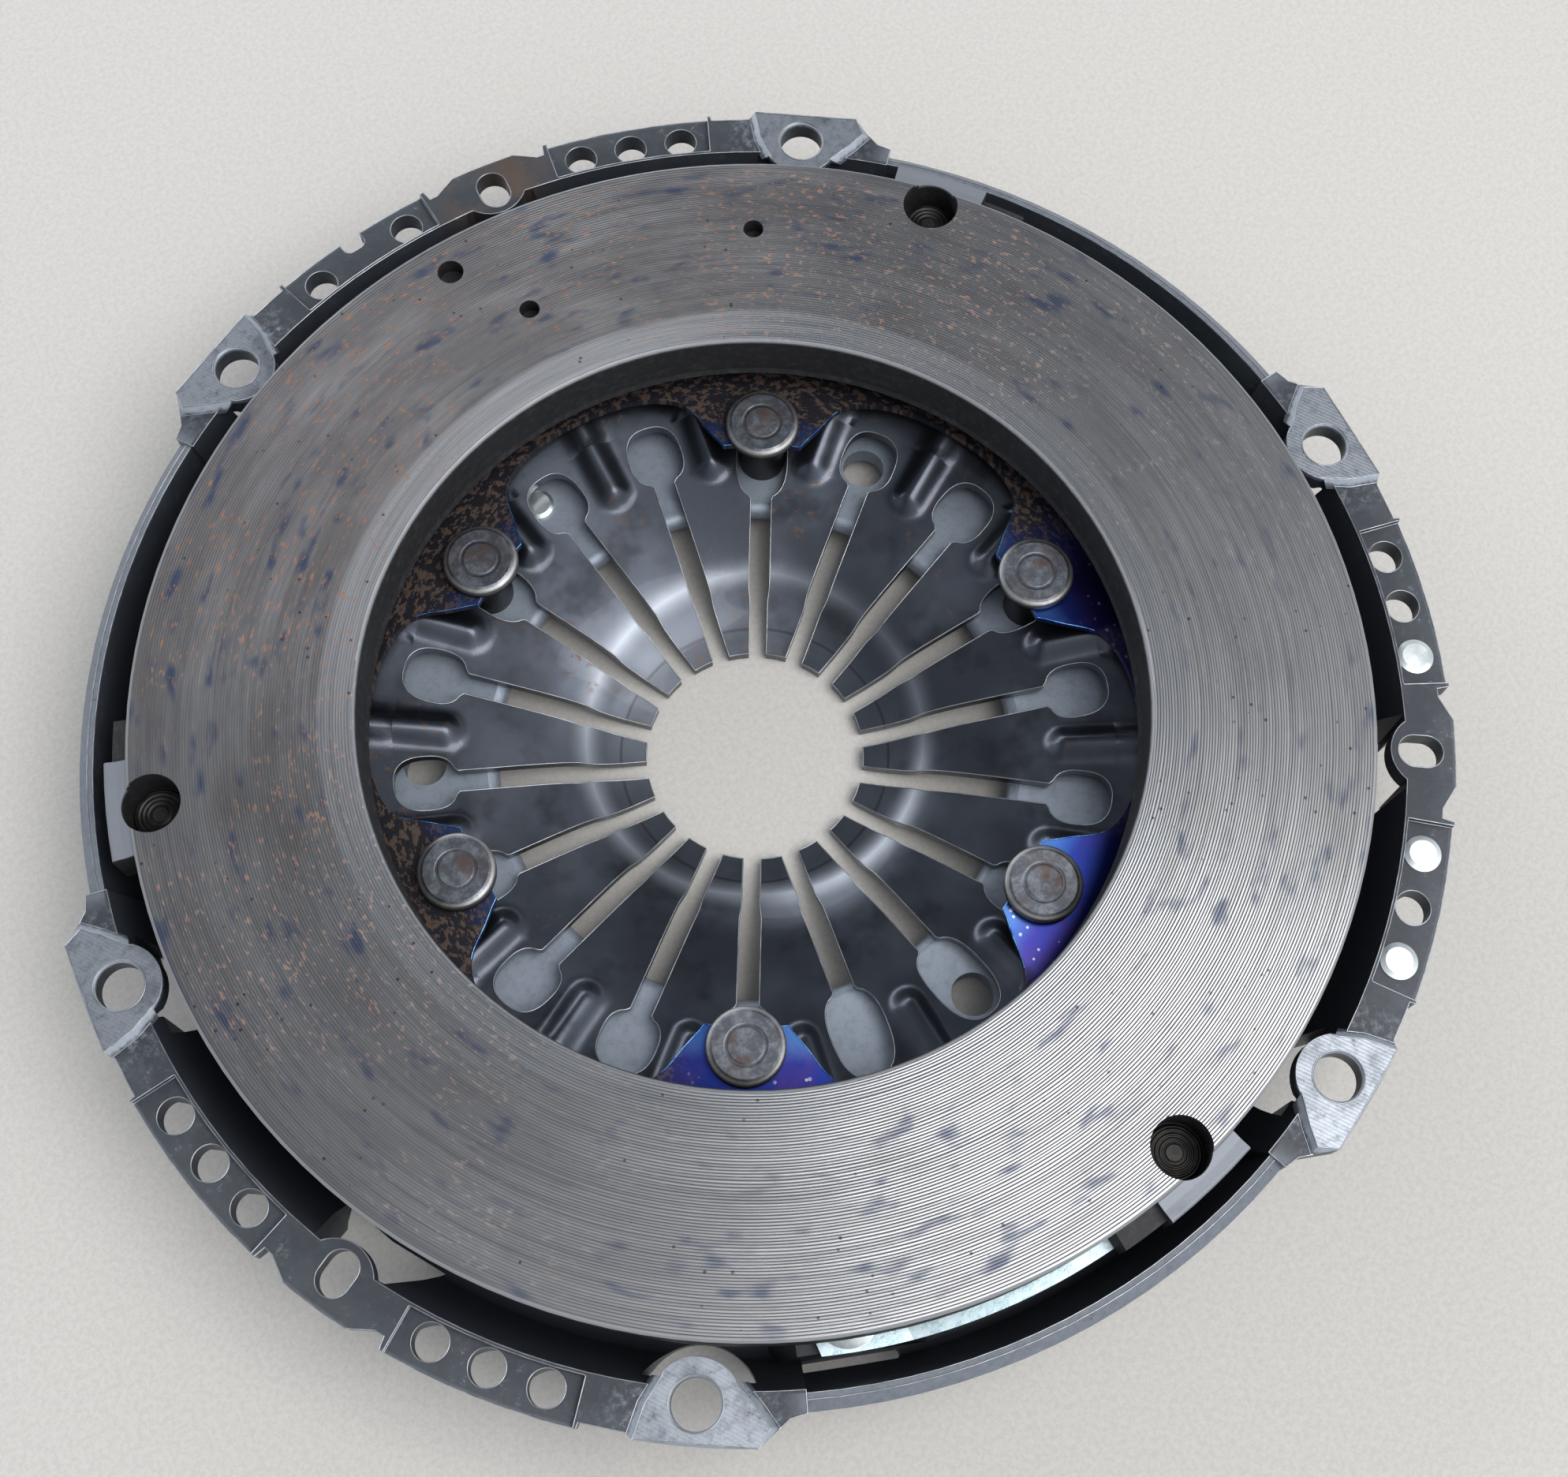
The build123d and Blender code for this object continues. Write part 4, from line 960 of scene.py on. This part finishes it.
@dataclass
class FingerDisc(SubAssembly):
    """The main sprung disc: one pressed sheet, slit into fingers, with a bead out along each.

    The angles are degrees. A bend is (radius, gain of slope inside it, softness). The sheet's
    rows are counted in three runs: to where the keyholes begin to close, round their closing
    ends, and over the whole ring outside.
    """

    body: str = "diaphragm_body"
    fingers: int = 18
    bolt_every: int = 3
    thick: float = 2.6
    tip_r: float = 22.8
    outer_r: float = 107.5
    neck_r: float = 55.1
    neck_z: float = -23.35
    slope: float = 0.20
    bends: tuple[tuple[float, float, float], ...] = (
        (39.5, 0.33, 4.0), (31.0, -0.29, 3.5), (28.0, -0.06, 0.5),
    )
    tip_slot: float = 3.75
    slot: float = 4.5
    shoulder_r: float = 33.0
    shoulder_long: float = 4.0
    keyhole_outer_r: float = 73.7
    keyhole_closing: float = 3.0
    plain_neck_r: float = 61.1
    keyhole: float = 11.6
    bolt_keyhole: float = 11.0
    long_keyholes: tuple[int, ...] = (13, 14)
    squareness: float = 2.6
    bead_start: float = 63.3
    bead_long: float = 18.5
    bead_high: float = 2.3
    bead_spread: float = 4.7
    bead_lean: tuple[float, float, float] = (9.0, 0.0, -9.0)
    row_counts: tuple[int, int, int] = (74, 10, 18)
    columns: int = 21

    def rows(self) -> tuple[np.ndarray, int]:
        """Radii of the sheet's rows, closer together where the keyholes round off.

        Returns:
            The radii, and the number of those inside the keyholes' outer ends.
        """
        to_closing, to_end, to_rim = self.row_counts
        closing = self.keyhole_closing
        free = np.linspace(self.tip_r, self.keyhole_outer_r - closing, to_closing)
        turn = np.linspace(0, np.pi / 2, to_end)[1:]
        rounded = self.keyhole_outer_r - closing * (1 - np.sin(turn))
        ring = np.linspace(self.keyhole_outer_r, self.outer_r, to_rim)[1:]
        return np.concatenate([free, rounded, ring]), len(free) + len(rounded)

    def height(self, radius: np.ndarray) -> np.ndarray:
        """Upper face of the plain sheet.

        A straight cone through the neck, less, for every bend, its gain of slope times the soft
        positive part of t = bend radius - r, which is (t + hypot(t, softness)) / 2.

        Args:
            radius: r, of any shape.

        Returns:
            Heights of the same shape.
        """
        z = self.neck_z + self.slope * (radius - self.neck_r)
        for bend_r, gain, soft in self.bends:
            inside = bend_r - radius
            z = z - gain * (inside + np.hypot(inside, soft)) / 2
        return z

    def half_slot(self, slot: int, radius: np.ndarray) -> np.ndarray:
        """Half width of a slot or of its keyhole, whichever is more.

        The slot widens over its shoulder by the cubic 3u^2 - 2u^3. The keyhole is a superellipse:
        half width times (1 - |t|^p)^(1/p), t running from -1 at its neck to 1 at its outer end,
        and p being the squareness.

        Args:
            slot: the slot's number, anticlockwise.
            radius: of any shape.

        Returns:
            Half widths of the same shape.
        """
        rise = np.clip((radius - self.shoulder_r) / self.shoulder_long, 0, 1)
        straight = (self.tip_slot + (self.slot - self.tip_slot) * rise * rise * (3 - 2 * rise)) / 2
        at_bolt = slot % self.bolt_every == 0
        neck = self.neck_r if at_bolt or slot in self.long_keyholes else self.plain_neck_r
        wide = self.bolt_keyhole if at_bolt else self.keyhole
        t = (2 * radius - neck - self.keyhole_outer_r) / (self.keyhole_outer_r - neck)
        round_end = np.clip(1 - np.abs(t) ** self.squareness, 0, None) ** (1 / self.squareness)
        half = np.maximum(straight * (t < 0), wide / 2 * round_end)
        return np.where(radius < self.keyhole_outer_r - 1e-6, half, 0)

    def finger(self, number: int) -> np.ndarray:
        """Upper face of one finger and its share of the ring.

        s runs out along the bead and t across it. With d the hypotenuse of t and of what s lies
        beyond either end, and q being d over the spread, up to 1, the bead stands
        high (1 - q)^2 (1 + 2 q) above the sheet.

        Args:
            number: the finger's, anticlockwise.

        Returns:
            Points, rows x columns x 3.
        """
        radius = self.rows()[0][:, None]
        step = 360 / self.fingers
        low = step * number + np.degrees(np.arcsin(self.half_slot(number, radius) / radius))
        far = (number + 1) % self.fingers
        high = step * (number + 1) - np.degrees(np.arcsin(self.half_slot(far, radius) / radius))
        angle = low + (high - low) * np.linspace(0, 1, self.columns)[None, :]
        own = np.radians(angle - step * (number + 0.5))
        lean = np.radians(self.bead_lean[number % self.bolt_every])
        x, y = radius * np.cos(own) - self.bead_start, radius * np.sin(own)
        s = x * np.cos(lean) + y * np.sin(lean)
        t = y * np.cos(lean) - x * np.sin(lean)
        beyond = np.minimum(s, 0) + np.maximum(s - self.bead_long, 0)
        q = np.clip(np.hypot(beyond, t) / self.bead_spread, 0, 1)
        z = self.height(radius) + self.bead_high * (1 - q) ** 2 * (1 + 2 * q)
        return np.concatenate([polar(radius, angle + FIRST_BOLT), z[..., None]], axis=-1)

    def sheet(self) -> tuple[list[Grid], np.ndarray]:
        """The whole pressed sheet and the runs of its upper cut edges.

        Returns:
            Grids for the upper face, lower face and walls, and the edges' ends (n x 2 x 3).
        """
        down = np.array([0.0, 0.0, -self.thick])
        inside = self.rows()[1]
        tops = [self.finger(number) for number in range(self.fingers)]
        upper = Surface.weld([Surface.grid(top[::-1]) for top in tops])
        lower = Surface.weld([Surface.grid(top + down) for top in tops])
        sides = [top[:inside, 0] for top in tops] + [top[inside - 1::-1, -1] for top in tops]
        tips = [top[0, ::-1] for top in tops]
        rims = [top[-1] for top in tops]
        walls = [
            Surface.weld([Surface.grid(np.stack([run, run + down])) for run in runs])
            for runs in (sides, tips, rims)
        ]
        ends = np.vstack([np.stack([run[:-1], run[1:]], axis=1) for run in sides + tips])
        return [upper, lower, *walls], ends

    def build(self) -> None:
        """Makes the sheet, which stands for the plain disc, and its bright cut edges."""
        grids, ends = self.sheet()
        slot = MaterialSlot.FINGERS
        disc = Surface.mesh("finger_disc", grids, TemperedSteel().build(), self.body, slot)
        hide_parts("main_diaphragm")
        bars = Burnish().bars(ends)
        Surface.mesh("finger_edge_wear", [bars], GROUND_EDGE.build(), self.body, slot)


@dataclass
class SensorDisc(SubAssembly):
    """The blue sensor disc held by the stand-off bolts, its edge given a painted highlight inside
    reach.
    """

    body: str = "cover_body"
    reach: float = 73.0
    tilt: float = 0.8

    def build(self) -> None:
        """Dresses the disc and the bolts and brightens the scalloped edge with painted-highlight
        bars.
        """
        self.dress(BluedSteel().build(), "sensor_diaphragm")
        self.dress(BoltSteel().build(), "standoff_bolt")
        burnish = Burnish(radius=0.14)
        ends, tilt = burnish.edges(self.nodes["sensor_diaphragm"])
        inner = np.hypot(ends[:, :, 0], ends[:, :, 1]).max(axis=1) < self.reach
        bars = burnish.bars(ends[inner & (tilt > self.tilt)])
        finish = EDGE_HIGHLIGHT_BLUE.build()
        Surface.mesh("sensor_edge_sheen", [bars], finish, self.body, MaterialSlot.SENSOR)


@dataclass
class Adjuster(SubAssembly):
    """The wear ring and its coil springs."""

    def build(self) -> None:
        """Dresses the ring and its springs in phosphate."""
        self.dress(PHOSPHATE.build(), "adjuster_")


# ---- studio
@dataclass(frozen=True)
class Camera:
    """A camera above one side of the part, placed in metres."""

    place: Place = (-0.0588438, -0.1254104, 0.3751686)
    right: Place = (0.899540, -0.436586, 0.014877)
    down: Place = (-0.404350, -0.845043, -0.349862)
    focal_px: float = 2597.93
    width_px: int = 1988
    height_px: int = 1872
    centre_px: tuple[float, float] = (1004.65, 878.32)
    sensor: float = 36.0

    def build(self) -> None:
        """Adds the camera: its axes are right, up and back; the shift sets its centre."""
        data = bpy.data.cameras.new("camera")
        data.sensor_fit = "HORIZONTAL"
        data.sensor_width = self.sensor
        data.lens = self.focal_px * self.sensor / self.width_px
        data.shift_x = (self.width_px / 2 - self.centre_px[0]) / self.width_px
        data.shift_y = (self.centre_px[1] - self.height_px / 2) / self.width_px
        data.clip_start = 0.01
        camera = bpy.data.objects.new("camera", data)
        right, up = Vector(self.right).normalized(), -Vector(self.down).normalized()
        back = right.cross(up).normalized()
        turn = Matrix((right, up, back)).transposed().to_4x4()
        camera.matrix_world = Matrix.Translation(self.place) @ turn
        bpy.context.scene.collection.objects.link(camera)
        bpy.context.scene.camera = camera


@dataclass(frozen=True)
class Lamp:
    """A soft oblong lamp aimed at the part, placed in metres, broad times as wide as tall."""

    name: str
    place: Place
    size: float
    watts: float
    tint: Colour = (1.0, 1.0, 1.0)
    broad: float = 1.0

    def build(self) -> None:
        """Adds the lamp, its face turned to the origin."""
        data = bpy.data.lights.new(self.name, "AREA")
        data.shape = "RECTANGLE"
        data.size = self.size * self.broad
        data.size_y = self.size
        data.energy = self.watts
        data.color = self.tint
        lamp = bpy.data.objects.new(self.name, data)
        lamp.location = self.place
        lamp.rotation_euler = (-Vector(self.place)).to_track_quat("-Z", "Y").to_euler()
        bpy.context.scene.collection.objects.link(lamp)


@dataclass(frozen=True)
class Studio:
    """Pale card floor, soft lamps and a sky that is brighter on one side and near the horizon.

    The floor's height is in millimetres and its half width in metres. The sky leaves its dim
    colour at sky_start, a cosine. horizon_fade is the upward cosines between which the
    horizon's colour comes in.
    """

    floor_z: float = -35.6
    floor_half: float = 1.5
    floor_colour: Colour = (0.66, 0.635, 0.60)
    fleck_dim: float = 0.86
    bright_side: Place = (0.42, -0.66, 0.62)
    sky_bright: Colour = (0.93, 0.96, 1.0)
    sky_dim: Colour = (0.13, 0.14, 0.165)
    sky_start: float = 0.20
    horizon: Colour = (0.80, 0.84, 0.90)
    horizon_fade: tuple[float, float] = (0.60, 0.28)
    lamps: tuple[Lamp, ...] = (
        Lamp("window", (0.36, -0.42, 1.06), 0.80, 9.0, (1.0, 0.995, 0.98)),
        Lamp("skyline", (-0.26, 1.10, 0.54), 0.34, 6.0, (0.95, 0.975, 1.0), 5.0),
        Lamp("fill", (-0.75, 0.45, 0.95), 1.5, 1.2, (0.90, 0.95, 1.0)),
    )

    def world(self) -> bpy.types.World:
        """Makes the sky: dim to bright with the cosine between its direction and the bright side.

        Near the horizon it goes over to the horizon's own colour.

        Returns:
            The world.
        """
        world = bpy.data.worlds.new("studio")
        world.use_nodes = True
        graph = Graph(world.node_tree)
        where = graph.node("ShaderNodeTexCoord", {}, {}, "Generated")
        inputs = {0: where, 1: Vector(self.bright_side).normalized()}
        toward = graph.node("ShaderNodeVectorMath", {"operation": "DOT_PRODUCT"}, inputs, "Value")
        _, _, height = graph.split(where)
        sky = graph.mix(toward.step(self.sky_start, 1.0), self.sky_dim, self.sky_bright)
        sky = graph.mix(height.step(*self.horizon_fade), sky, self.horizon)
        graph.tree.links.new(sky.socket, graph.tree.nodes["Background"].inputs["Color"])
        return world

    def floor(self) -> bpy.types.Object:
        """Makes the floor of flecked card.

        Returns:
            The floor.
        """
        corners = np.array([[-1, -1], [1, -1], [1, 1], [-1, 1]]) * self.floor_half
        vertices = np.column_stack([corners, np.full(4, self.floor_z * MM)])
        data = bpy.data.meshes.new("floor")
        data.from_pydata(vertices.tolist(), [], [(0, 1, 2, 3)])
        graph = MaterialGraph("card")
        flecks = graph.noise(900.0, 4.0, 0.8).step(0.36, 0.62)
        dim = tuple(self.fleck_dim * part for part in self.floor_colour)
        colour = graph.mix(flecks * 0.8 + 0.2, dim, self.floor_colour)
        data.materials.append(graph.finish(Base_Color=colour, Roughness=0.9))
        return bpy.data.objects.new("floor", data)

    def build(self) -> None:
        """Adds the floor, the lamps and the world, and sets the view transform."""
        floor = self.floor()
        bpy.context.scene.collection.objects.link(floor)
        for lamp in self.lamps:
            lamp.build()
        bpy.context.scene.world = self.world()
        bpy.context.scene.view_settings.view_transform = "Standard"


def main() -> None:
    """Loads the frame, dresses every sub-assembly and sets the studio."""
    logging.basicConfig(level=logging.INFO, format="%(name)s: %(message)s")
    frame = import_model()
    nodes = frame["nodes"]
    for assembly in (Cover, FrictionPlate, FingerDisc, SensorDisc, Adjuster):
        assembly(nodes).build()
    Studio().build()
    Camera().build()


if __name__ == "__main__":
    main()
